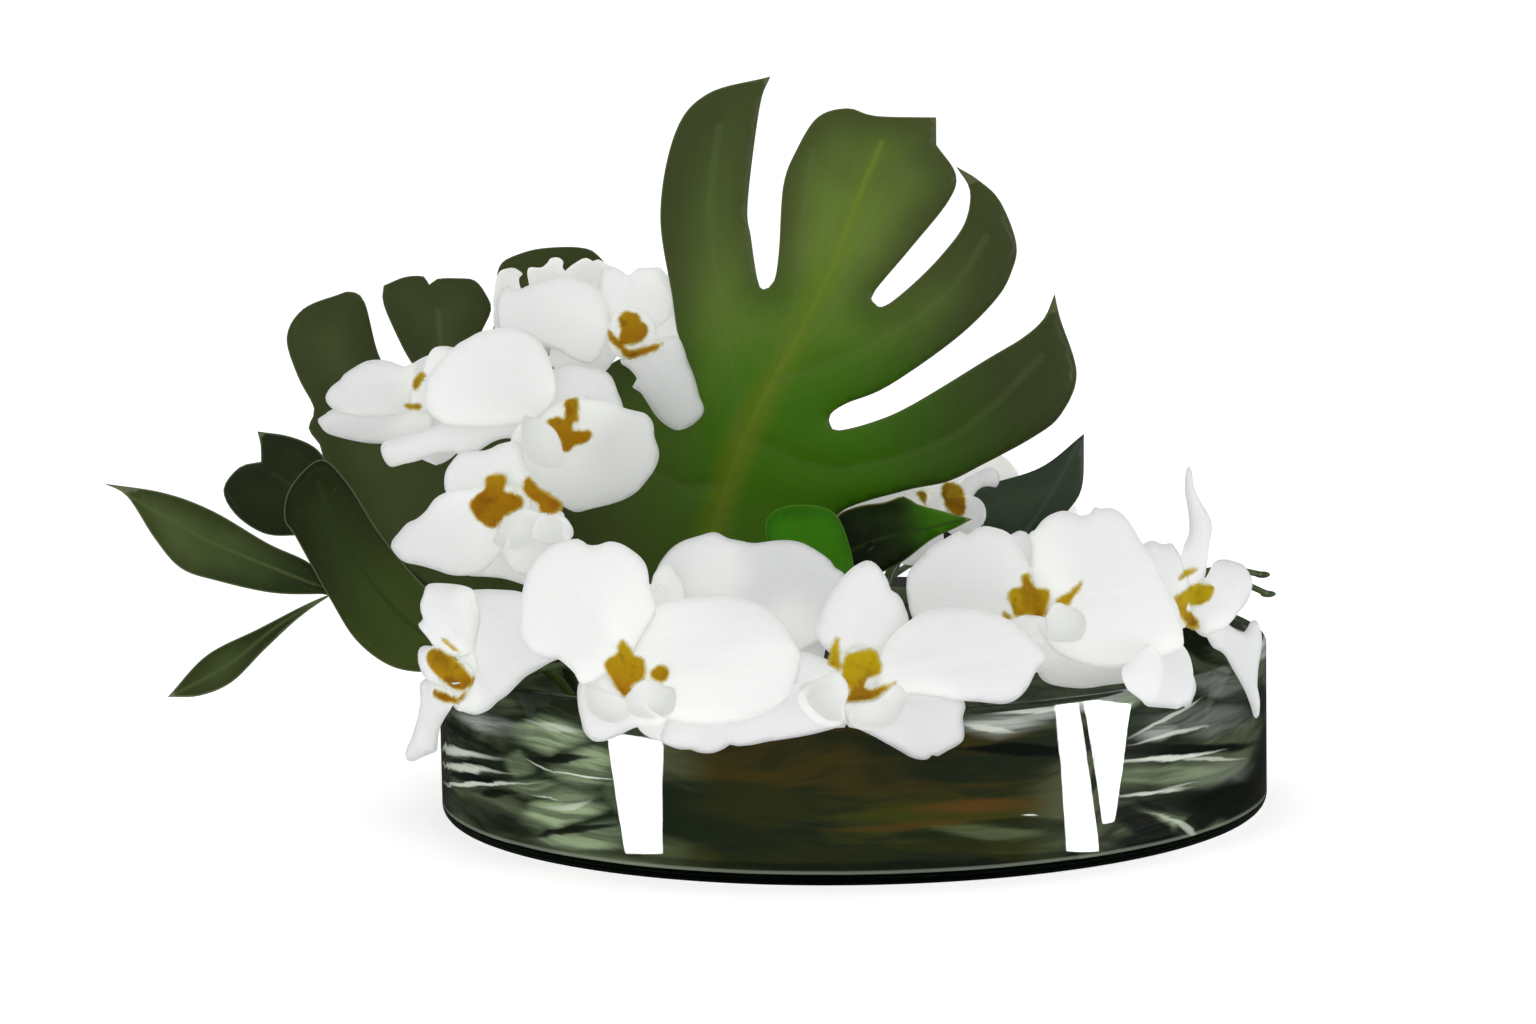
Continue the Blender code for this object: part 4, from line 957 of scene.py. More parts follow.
def makeLeafMaterial(name, look):
    mat, tree, shader = newMaterial(name, look["rough"])
    ribDist, veinDist, rimDist = (painted(tree, key) for key in ("ribDist", "veinDist", "rimDist"))
    lines = placeGroup(tree, veinGroup, Rib_Distance=ribDist, Vein_Distance=veinDist, Rim_Distance=rimDist,
                       Rib_Width=look["ribWidth"], Vein_Width=look["veinWidth"], Rim_Width=0.9)
    patch = mottle(tree, 34.0, 0.3, 0.7)
    wander = doMath(tree, "MULTIPLY", doMath(tree, "SUBTRACT", patch, 0.5), 5.0)
    fromHeart = painted(tree, "fromHeart")
    inside = remap(tree, doMath(tree, "ADD", rimDist, wander), look["deepFrom"], look["deepTo"])
    colour = mixColour(tree, inside, look["deep"], look["mid"])
    if "far" in look:
        colour = farColour(tree, look, colour, wander, ribDist, fromHeart)
    heart = doMath(tree, "MULTIPLY_ADD", wander, 2.0, fromHeart)
    heart = remap(tree, heart, look["heartFrom"], look["heartTo"])
    colour = mixColour(tree, doMath(tree, "MULTIPLY", heart, 0.9), colour, look["heart"])
    if "halo" in look:
        # the midrib glows yellow-green, most of all near the foot
        near = remap(tree, doMath(tree, "MULTIPLY_ADD", wander, 0.4, ribDist), look["haloWidth"], 0.5)
        low = remap(tree, painted(tree, "fromFoot"), look["haloFrom"], look["haloTo"],
                    look["haloLeast"], look["haloMost"])
        colour = mixColour(tree, doMath(tree, "MULTIPLY", near, low), colour, look["halo"])
    if "lineGap" in look:
        # painted shade: faint dark lines that run beside the side veins, as the quilted blade shades itself
        # there
        wave = doMath(tree, "SINE", doMath(tree, "MULTIPLY", veinDist, 2 * pi / look["lineGap"]))
        dark = doMath(tree, "MULTIPLY", remap(tree, wave, 0.2, 1.0), look["lineShow"])
        colour = mixColour(tree, dark, colour, look["deep"])
    if "tip" in look:
        tip = remap(tree, painted(tree, "along"), 0.45, 0.8)
        tip = doMath(tree, "MULTIPLY", tip, remap(tree, ribDist, 35.0, 30.0))    # not on the stalk
        colour = mixColour(tree, tip, colour, look["tip"])
    shows = (("Vein", look.get("veinShow", 0.45), "vein"), ("Rib", 0.6, "rib"), ("Rim", 0.7, "edge"))
    for line, show, tone in shows:
        colour = mixColour(tree, doMath(tree, "MULTIPLY", lines[line], show), colour, look[tone])
    colour = mixColour(tree, painted(tree, "under"), colour, look["under"])
    tree.links.new(colour, shader.inputs["Base Color"])
    space = objectSpace(tree)
    grain = noise(tree, space, 700.0, 2.0)
    rough = doMath(tree, "ADD", look["rough"] - 0.05, doMath(tree, "MULTIPLY", patch, 0.10))
    tree.links.new(rough, shader.inputs["Roughness"])
    shader.inputs["Specular IOR Level"].default_value = 0.12
    addBump(tree, shader, grain, 0.12, 0.6)
    return mat


leafMaterials = {name: makeLeafMaterial("leaf " + name, look) for name, look in leafLooks.items()}
leafValues = ("ribDist", "veinDist", "rimDist", "along", "fromFoot", "fromHeart", "fromDusk", "under")


def addStalk(skin, path, radius):
    off = blade["stalkOff"]
    addTube(skin, smoothPath(path, blade["stalkStep"]), radius, blade["stalkSides"],
            ribDist=off, veinDist=off, rimDist=off)


for name, leaf in leaves.items():
    if name.startswith("sprig"):
        continue
    skin = Skin(*leafValues)
    addBlade(skin, leaf)
    addStalk(skin, leaf["stalk"], blade["stalkRadius"])
    makePiece(name + "Leaf", skin, leafMaterials[leaf["look"]],
              leaf["stands"])
skin = Skin(*leafValues)
for name in ("sprigUpper", "sprigLower"):
    addBlade(skin, leaves[name])
addStalk(skin, sprigStem, blade["sprigRadius"])
makePiece("sprig", skin, leafMaterials["sprig"], ["leaf_sprig"])
print("leaves done")

# blooms
blooms = {
    # hub, facing (turn to the right, tilt up), and the five tips as offset from the hub plus the tepal's
    # width and, where it matters, its twist
    "a": dict(hub=(-80, 16, 168), face=(14, 10), tips=dict(
        left=(-45, 6, 16, 42), right=(24, 34, 14, 34), dorsal=(5, 16, 28, 34),
        lowleft=(-29, 12, -7, 22), lowright=(25, 4, -30, 27))),
    "b": dict(hub=(-156, 10, 150), face=(-24, 10), tips=dict(
        left=(-34, 14, 5, 30), right=(24, 14, 4, 34), dorsal=(8, 18, 14, 24),
        lowleft=(-38, 14, -8, 28), lowright=(6, 8, -26, 26))),
    "c": dict(hub=(-100, -32, 143), face=(-4, 5), tips=dict(
        left=(-48, 10, 23, 46), right=(24, 2, -24, 50), dorsal=(13, 10, 22, 34),
        lowleft=(-67, 16, -13, 24), lowright=(-8, 12, -24, 28))),
    "d": dict(hub=(-123, -60, 121), face=(-15, 5), tips=dict(
        left=(-38, -8, -18, 34), right=(26, 18, -8, 28), dorsal=(-16, 12, 20, 32),
        lowleft=(-9, 6, -32, 28), lowright=(16, -6, -26, 30))),
    "e": dict(hub=(-137, -98, 65), face=(-40, 5), tips=dict(
        left=(-16, 16, 20, 30), right=(31, -16, 15, 48), dorsal=(-9, 4, 33, 30),
        lowleft=(-18, 4, -26, 20), lowright=(10, -12, -14, 30))),
    "f": dict(hub=(-74, -158, 76), face=(-6, 8), tips=dict(
        left=(-32, 12, 39, 52), right=(56, -4, 6, 46), dorsal=(9, 14, 27, 32),
        lowleft=(-17, 0, -24, 24), lowright=(20, 10, -24, 26))),
    "g": dict(hub=(-3, -160, 72), face=(8, 4), tips=dict(
        left=(-54, 4, -14, 34), right=(63, 14, 5, 40), dorsal=(6, 10, 40, 34),
        lowleft=(-12, -8, -10, 24), lowright=(33, 2, -25, 32))),
    "h": dict(hub=(65, -124, 91), face=(0, 6), tips=dict(
        left=(-48, 10, 5, 48), right=(48, 8, 3, 54), dorsal=(-7, 22, 24, 30),
        lowleft=(-16, 14, -25, 26), lowright=(24, 22, -32, 30))),
    "i": dict(hub=(113, -88, 82), face=(45, 6), tips=dict(
        left=(-15, -14, 22, 30), right=(30, 26, 4, 34), dorsal=(4, 6, 46, 26),
        lowleft=(-2, -34, -29, 24, -16), lowright=(28, 2, -41, 26, -10))),
    "j": dict(hub=(34, 68, 101), face=(6, 30), tips=dict(
        left=(-34, 12, 10, 34), right=(25, 16, 5, 24), dorsal=(1, 14, 32, 32),
        lowleft=(-18, -10, -21, 26), lowright=(17, -8, -8, 18))),
    "k": dict(hub=(-107, 54, 178), face=(168, 50), tips=dict(
        left=(-22, -8, 11, 30), right=(25, -6, 14, 34), dorsal=(0, -20, 20, 30),
        lowleft=(-18, 8, -16, 28), lowright=(18, 8, -16, 28))),
    "l": dict(hub=(-37, -116, 78), face=(0, 40), tips=dict(
        left=(-27, 22, 30, 44), right=(31, 22, 26, 44), dorsal=(-3, 36, 35, 36),
        lowleft=(-20, 4, 1, 28), lowright=(26, 4, -2, 34))),
    "m": dict(hub=(-84, 92, 92), face=(215, 20)),
    "n": dict(hub=(-30, 120, 88), face=(165, 22)),
    "o": dict(hub=(54, 112, 83), face=(182, 15), share=0.82),
}
# tips of a bloom that lists none: turn from the top, length, way back from the face, width
evenTips = dict(left=(-80, 44, 6, 50), right=(80, 44, 6, 50), dorsal=(0, 44, 8, 32),
                lowleft=(-142, 44, 8, 30), lowright=(142, 44, 8, 30))
# tepals whose edge is cut to its own line: X and Z as they show from the front at depth "seenAt"
cutEdges = {
    "a": dict(
        seenAt=-20,
        left=[(-124, 177), (-125, 188), (-121, 193), (-117, 191.5), (-111, 194), (-104, 195), (-96, 195),
              (-91, 193), (-86, 187), (-85, 176), (-88, 168), (-92, 164.5), (-97, 165.5), (-103, 169),
              (-109, 171), (-118, 173)],
        dorsal=[(-87, 184), (-88, 192), (-86, 199), (-82, 199.5), (-79.5, 197.5), (-77.5, 196),
                (-74, 198.5), (-69, 199), (-65, 199), (-62, 193), (-61, 186), (-66, 178), (-80, 176)],
        lowright=[(-66, 173), (-60, 173.5), (-57.5, 169), (-56.5, 164.5), (-54.5, 158.5), (-52.5, 151.5),
                  (-51, 148), (-51.7, 145), (-55.5, 141.5), (-60, 139.7), (-63, 140.4), (-66.5, 143),
                  (-69, 146), (-71.5, 150), (-74, 153.5), (-77, 155.6), (-75.5, 158.5), (-78, 162),
                  (-81, 165), (-76, 170)]),
    "b": dict(
        seenAt=-20,
        left=[(-155, 165), (-159, 164.5), (-163, 166), (-167, 167), (-172, 166.7), (-176.5, 164.6),
              (-180.5, 162), (-182, 160), (-185.5, 157.5), (-188, 154), (-187, 151), (-184, 149),
              (-176, 147), (-165, 147), (-156, 150)],
        lowleft=[(-157, 149), (-170, 149.5), (-180, 149.5), (-185.5, 149.5), (-188, 148), (-191, 146),
                 (-190, 143.5), (-187.5, 141), (-181.5, 139), (-175, 137.5), (-170, 137), (-163, 137),
                 (-156, 140), (-151, 143), (-150, 148)]),
    "c": dict(
        seenAt=-20,
        left=[(-110, 146), (-118, 143), (-126, 142), (-137, 142.5), (-146, 144), (-151, 148),
              (-152.5, 152), (-152, 157), (-151.5, 160), (-148, 164), (-145, 167), (-139.5, 172),
              (-136, 174), (-131.5, 176.3), (-127, 177.2), (-120, 178), (-113, 175.5), (-109, 171),
              (-106, 164), (-105, 154)],
        dorsal=[(-109, 150), (-108, 157), (-105.5, 163), (-99, 165.5), (-94, 164), (-88, 162.5),
                (-84.5, 160), (-82.5, 155), (-80.5, 148), (-84, 142), (-95, 140), (-105, 142)],
        right=[(-92, 151), (-84, 150), (-80.5, 148), (-76, 146.7), (-73, 145.8), (-70.8, 143.6),
               (-69.8, 140.8), (-69.6, 137), (-68.2, 132.5), (-68.3, 129), (-70, 125), (-72.5, 121.7),
               (-76, 117.7), (-80.4, 115), (-86, 113), (-93, 111.5), (-97.5, 110.5), (-101, 111.5),
               (-108.3, 116.6), (-113, 120), (-116, 123.2), (-118.6, 127.6), (-120.3, 132), (-121, 137),
               (-118, 142), (-112, 145), (-102, 150)],
        lowleft=[(-112, 147), (-126, 146.5), (-140, 145), (-151, 142), (-160, 139.5), (-167.5, 137),
                 (-168.3, 133), (-165.3, 128.3), (-159.5, 129.3), (-154, 130.5), (-148, 132.5),
                 (-144, 133.1), (-139, 132.5), (-133, 133.3), (-127, 136.8), (-122.5, 138), (-115, 138)]),
    "d": dict(
        seenAt=-20,
        dorsal=[(-146, 119), (-146.5, 122), (-145.5, 127), (-142, 131.5), (-139, 133.5), (-131, 134),
                (-126, 136.5), (-120, 137), (-117, 130), (-115, 124), (-119, 116), (-133, 112),
                (-143, 114)],
        left=[(-126, 121), (-136, 120), (-143, 119.5), (-148.5, 117), (-152, 112.5), (-155.4, 109.6),
              (-159, 108), (-162.3, 104.5), (-164.5, 102), (-165, 99.8), (-163, 96.5), (-160, 94),
              (-154.7, 92.7), (-149, 91), (-143.6, 89.2), (-137, 89), (-131, 91), (-124, 100),
              (-121, 112)],
        right=[(-122, 124), (-118, 122), (-113, 118), (-108, 114.8), (-104, 112), (-101.5, 109),
               (-104, 106), (-112, 106), (-119, 110)],
        lowleft=[(-134, 106), (-127, 106), (-117, 101), (-111, 92), (-109.5, 84), (-116, 83),
                 (-125, 86.5), (-131.5, 87.6), (-139.3, 88), (-143, 90), (-142, 98)],
        lowright=[(-128, 104), (-125.2, 108.6), (-121, 110.8), (-116.4, 111.6), (-112, 110),
                  (-110, 109.7), (-106.4, 110.6), (-103, 108.3), (-101.6, 105.5), (-102.3, 102.5),
                  (-101, 99), (-104, 93), (-109, 90), (-118, 88), (-124, 92), (-127, 98)]),
    "e": dict(
        seenAt=-140,
        dorsal=[(-144.2, 103.8), (-146, 102.8), (-146.6, 100), (-147.7, 97), (-147.6, 94),
                (-147.2, 91.8), (-150, 89.5), (-148.7, 87.3), (-146.5, 85), (-142, 80), (-136, 78),
                (-130, 81), (-128, 90), (-130, 98), (-131, 101), (-133.7, 102.5), (-137, 103.3),
                (-141, 103.8)],
        right=[(-133, 94), (-131.3, 101), (-128, 102), (-122, 101.8), (-115, 101), (-109, 98),
               (-105, 90), (-103, 83), (-102, 78.5), (-105, 76.7), (-109, 74), (-112.3, 72),
               (-115.6, 69), (-119, 65.8), (-122, 63.7), (-124, 61.6), (-126.3, 60.3), (-129.4, 59.4),
               (-132.5, 59.7), (-135, 60.5), (-137.3, 61.3), (-135, 66), (-131, 72), (-129.5, 80)],
        left=[(-141, 82), (-145, 83), (-147.3, 83), (-149, 81.5), (-149.5, 78), (-148.6, 74.5),
              (-147, 72), (-144.3, 69.8), (-139, 68), (-136, 74)],
        lowleft=[(-139, 71), (-145, 73), (-150, 71), (-150.4, 66), (-149.8, 60), (-150.3, 56.5),
                 (-151.7, 52.3), (-153.3, 49.7), (-154.8, 47), (-154.5, 44.8), (-152.7, 44.1),
                 (-149.5, 45.5), (-146.5, 46.7), (-144.2, 47.8), (-143, 51), (-141.5, 55),
                 (-139.4, 58.7), (-137.5, 62), (-136, 67)],
        lowright=[(-138, 62), (-134, 60.5), (-129, 60.5), (-127, 63), (-128, 70), (-134, 74), (-140, 70)]),
    "f": dict(
        seenAt=-140,
        left=[(-111.6, 105), (-109.5, 110), (-105, 114.5), (-100, 117.5), (-93.5, 118.5), (-90.4, 116.5),
              (-87, 116.3), (-83, 117.4), (-79.4, 116.7), (-75.8, 114.5), (-72.7, 111.8), (-71, 109),
              (-70.3, 106), (-69.8, 102), (-68, 96), (-69, 88), (-75, 80), (-84, 73), (-93, 69.3),
              (-95.5, 72.8), (-98.6, 76), (-101.7, 78.1), (-104.8, 78), (-108, 79.2), (-111, 81.6),
              (-113.2, 84.6), (-114, 88), (-113.5, 93), (-112.8, 99.5)],
        right=[(-75, 69), (-78, 76), (-77, 84), (-73.5, 91), (-68, 95), (-62.5, 96.8), (-56, 98),
               (-47, 99), (-38.5, 97.5), (-31, 94.2), (-25, 88.7), (-21, 82), (-19.8, 75.7), (-21, 69.3),
               (-24.5, 63.6), (-30, 59.4), (-37, 56.4), (-46.5, 54.9), (-57, 55), (-65.5, 57), (-71, 61)],
        lowleft=[(-95.5, 66.5), (-95, 61), (-94, 57), (-93, 52.7), (-90.3, 49.7), (-87.7, 49.3),
                 (-85, 49.8), (-80.3, 51.8), (-75, 54), (-68, 54), (-64, 60), (-68, 70), (-74, 72),
                 (-80, 71), (-80, 76), (-86, 75.5), (-91, 73.5), (-94.5, 70)]),
    "g": dict(
        seenAt=-120,
        left=[(-4, 50.5), (-8, 48.8), (-16, 46.8), (-24, 45.5), (-31, 44.5), (-36.2, 43.4), (-41.5, 43),
              (-44, 43.6), (-46, 42.3), (-50, 40.8), (-54.3, 40.9), (-58, 42), (-61, 41.8), (-65, 42.8),
              (-68, 45), (-66, 52), (-58, 62), (-46, 70), (-30, 76), (-14, 74), (-4, 66)],
        dorsal=[(-3.8, 101.8), (-0.2, 104.8), (3.9, 106.6), (6.8, 105.5), (9, 102.8), (10.8, 99.8),
                (12, 96.3), (14.2, 95.1), (16, 92.7), (17, 89.7), (18, 86), (17, 82), (12, 74), (2, 70),
                (-8, 74), (-14, 81.5), (-12.3, 87.8), (-10.3, 92.5), (-7.3, 97.7)],
        right=[(8, 62), (21, 58), (29.5, 58.5), (34, 57.8), (40, 57.2), (45.8, 56.5), (49.3, 56.2),
               (52.8, 57), (56.3, 59.3), (58.6, 62.2), (60, 65), (61.6, 68), (64, 69.6), (64.8, 72.1),
               (63.5, 75), (59, 80), (52, 85), (43, 88.5), (33.3, 90), (24, 89), (17, 85), (10, 78),
               (6, 70)],
        lowright=[(-4, 50.2), (0.1, 48.4), (4.8, 46), (9.4, 43.3), (14.1, 40.5), (17.5, 38.4),
                  (21, 37.4), (23.6, 37.6), (25.1, 38.9), (26.9, 38.5), (30.4, 40.2), (34, 42),
                  (36, 43.8), (36.5, 46.7), (36, 51.5), (36.8, 56.5), (31, 62), (18, 66), (8, 64),
                  (0, 58)],
        lowleft=[(-14, 67), (-11, 67.6), (-7.7, 68.4), (-5.4, 67), (-3.7, 64), (-2.6, 60.5), (-3, 57.5),
                 (-4, 55.5), (-3.7, 51.6), (-8, 49.5), (-14, 51), (-19, 58), (-18, 64)]),
    "h": dict(
        seenAt=-120,
        left=[(16.6, 93.3), (16.3, 98), (17.2, 102.2), (19.6, 105.1), (22.6, 108), (25, 111), (29, 113),
              (32.5, 115), (34.5, 115.9), (37.5, 114.7), (40, 116.5), (43, 117.5), (46.5, 116.9),
              (50.6, 115.4), (54, 112), (58, 104), (60, 94), (56, 84), (48, 79), (40, 77), (32, 77),
              (24, 80), (18.5, 86)],
        dorsal=[(50.6, 114), (53, 116.2), (55.3, 117), (57.1, 116.4), (59, 114.3), (62, 110), (66, 102),
                (68, 95), (60, 90), (52, 94), (49, 104)],
        right=[(60, 108), (59, 114.2), (61, 115.8), (63, 118.5), (65.3, 120.4), (68.2, 121.7),
               (71, 122.2), (74, 121.6), (77, 120.4), (79.8, 121.3), (81.5, 123.4), (83.5, 122.7),
               (86.8, 123), (89.7, 121.6), (92, 119.2), (94.4, 115.6), (96.7, 111.4), (99.5, 108),
               (102, 102), (105, 96), (109, 89.5), (110.5, 84.5), (111.2, 79.8), (111.3, 75),
               (107.7, 73.2), (103, 71.5), (97.2, 69.2), (91.3, 68), (85.5, 67.7), (79.7, 68.6),
               (74, 70.6), (69, 72.8), (65.5, 76), (62, 82), (60, 92)],
        lowright=[(66, 84), (62, 74), (62, 66), (66, 61.5), (75, 60.5), (85, 61), (94, 62), (99, 66),
                  (98, 75), (90, 85)]),
    "i": dict(
        seenAt=-120,
        dorsal=[(114.7, 136.5), (115.8, 134.6), (116, 131.8), (116.7, 128.8), (118.4, 125.3),
                (120.2, 122.4), (121.9, 120), (123, 116.6), (122.9, 112), (122, 107), (120.5, 102),
                (117, 92), (111, 92), (108, 99), (109.5, 105), (110.7, 110), (112.4, 113.5),
                (113.3, 117.5), (113.6, 122.3), (113, 128), (113.2, 133)],
        left=[(98.5, 109), (101.3, 111.5), (104.2, 110.5), (107.1, 110.2), (110.5, 110), (113, 104),
              (114, 94), (113, 85), (108, 84), (103, 90), (99.5, 99)],
        right=[(121, 102), (123, 104), (126, 104.7), (129.1, 104), (132.6, 102.7), (134.4, 100.8),
               (135.9, 98.4), (136.3, 95.4), (134.8, 92), (132.5, 89), (130, 86.6), (127.5, 83),
               (122, 78), (116, 80), (115, 90)],
        lowleft=[(98, 67), (99, 63), (101, 60.5), (103.5, 58), (106, 56), (108.5, 54.5), (110.5, 54),
                 (112.5, 54.8), (114, 54.6), (115.7, 55.2), (116.4, 58.5), (115.8, 63), (114.6, 67.8),
                 (113, 71.5), (112, 76), (106, 78), (100, 73)],
        lowright=[(119, 78), (121, 74.5), (123.5, 73.2), (125.8, 71.3), (127.5, 68.2), (129.2, 65.2),
                  (131, 61.6), (132.7, 58), (134.3, 54.4), (135.6, 51.2), (136.6, 50.4), (137.6, 51.3),
                  (138.2, 55.4), (138.6, 60), (139, 67), (139.4, 76), (138.9, 81.4), (137.7, 84.5),
                  (135.5, 84), (133, 80.5), (129, 82), (123, 86), (117, 84)]),
    "j": dict(
        seenAt=-120,
        right=[(36, 134), (41, 136), (44.5, 138.2), (48, 138.5), (49.8, 135.4), (48.8, 132), (45.5, 132),
               (42, 130.5), (37, 124), (32, 122), (30, 128)]),
    "k": dict(
        seenAt=-20,
        left=[(-124, 179), (-125.4, 188), (-125.2, 193), (-124.2, 197.4), (-121.4, 201.3),
              (-117.5, 202.3), (-115, 199), (-116.5, 196), (-115.5, 192), (-111, 188), (-108, 180),
              (-115, 176)],
        dorsal=[(-113, 196), (-112.8, 200.5), (-108.6, 200.3), (-106.2, 202.5), (-104.6, 205),
                (-101.8, 205.3), (-100.2, 204), (-100.4, 200.5), (-97, 196), (-97, 186), (-110, 186)],
        right=[(-101, 198), (-96.3, 202.5), (-93, 203.8), (-90.7, 202.4), (-88.8, 203.2), (-85, 201),
               (-79.6, 197.6), (-77, 190), (-88, 182), (-100, 186)]),
    "l": dict(
        seenAt=-140,
        left=[(-69.5, 97), (-69, 104), (-67.5, 108), (-64, 110), (-60, 107), (-58, 98), (-60, 86), (-66, 86)],
        right=[(-68, 96), (-68.5, 104), (-67, 109), (-65, 112.5), (-62, 116), (-58, 118.7), (-53, 120.6),
               (-49.3, 121.6), (-46.7, 121.5), (-43, 119.6), (-38, 118.8), (-35, 118.4), (-27, 118.5),
               (-19, 117.2), (-12.7, 114), (-9, 111), (-7.5, 108.4), (-4, 105), (-4, 95), (-12, 84),
               (-26, 78), (-42, 76), (-58, 80)],
        dorsal=[(-58, 104), (-52, 112), (-44, 114), (-38, 110), (-36, 100), (-44, 94), (-54, 96)]),
}
petal = {
    "rows": 30, "cols": 26, "thick": 0.9, "rimThick": 0.14, "bow": 0.05, "cup": -2.5,
    "start": 2.0, "least": 2.0,
    "broad": dict(widest=0.52, claw=0.13, blunt=0.50, layer=1.2),
    "narrow": dict(widest=0.50, claw=0.20, blunt=0.62, layer=-1.2),
    # a cut tepal: gaps between its points, wave and drop of its rim, reach of the thin rim and of the
    # crease, and the lengths of the ripple, whose height a plain tepal shares
    "cutStep": 1.7, "edgeStep": 1.5, "edgeWave": 0.8, "edgeWide": 4.0, "edgeLong": (4.5, 5.5),
    "edgeDrop": 2.4, "edgeRound": 4.5, "rimWide": 3.0, "creaseWide": 2.2,
    "ripple": 0.5, "rippleLong": (7.0, 9.0),
    # a plain tepal: height of its ruffle, waves along it, turn from side to side and the width with that
    # height; depth of the crease, which both kinds share, and its half width as a share of the tepal's
    "ruffle": 0.9, "ruffleWaves": 5.5, "ruffleTurn": 1.5, "ruffleWidth": 40,
    "crease": 0.7, "creaseShare": 0.16,
    "neckRadius": 1.4, "neckLength": 6.0, "neckSides": 12,
    # ball that closes the hub, and the place along a petal whose colour the hub and the folds take
    "hubRadii": (6.0, 6.0, 2.4), "hubBack": -1.6, "hubAlong": 0.1, "foldAlong": 0.6,
    # fill: strength of the petals' faint painted glow; shade: grey for the painted shade near the claws and
    # for the petals' own mottle
    "white": (0.805, 0.813, 0.790), "shade": (0.78, 0.80, 0.74), "rough": 0.6, "fill": 0.185,
    "through": 0.85, "throughRadius": (1.0, 1.0, 0.85), "throughDeep": 0.008,    # the last one in metres
}
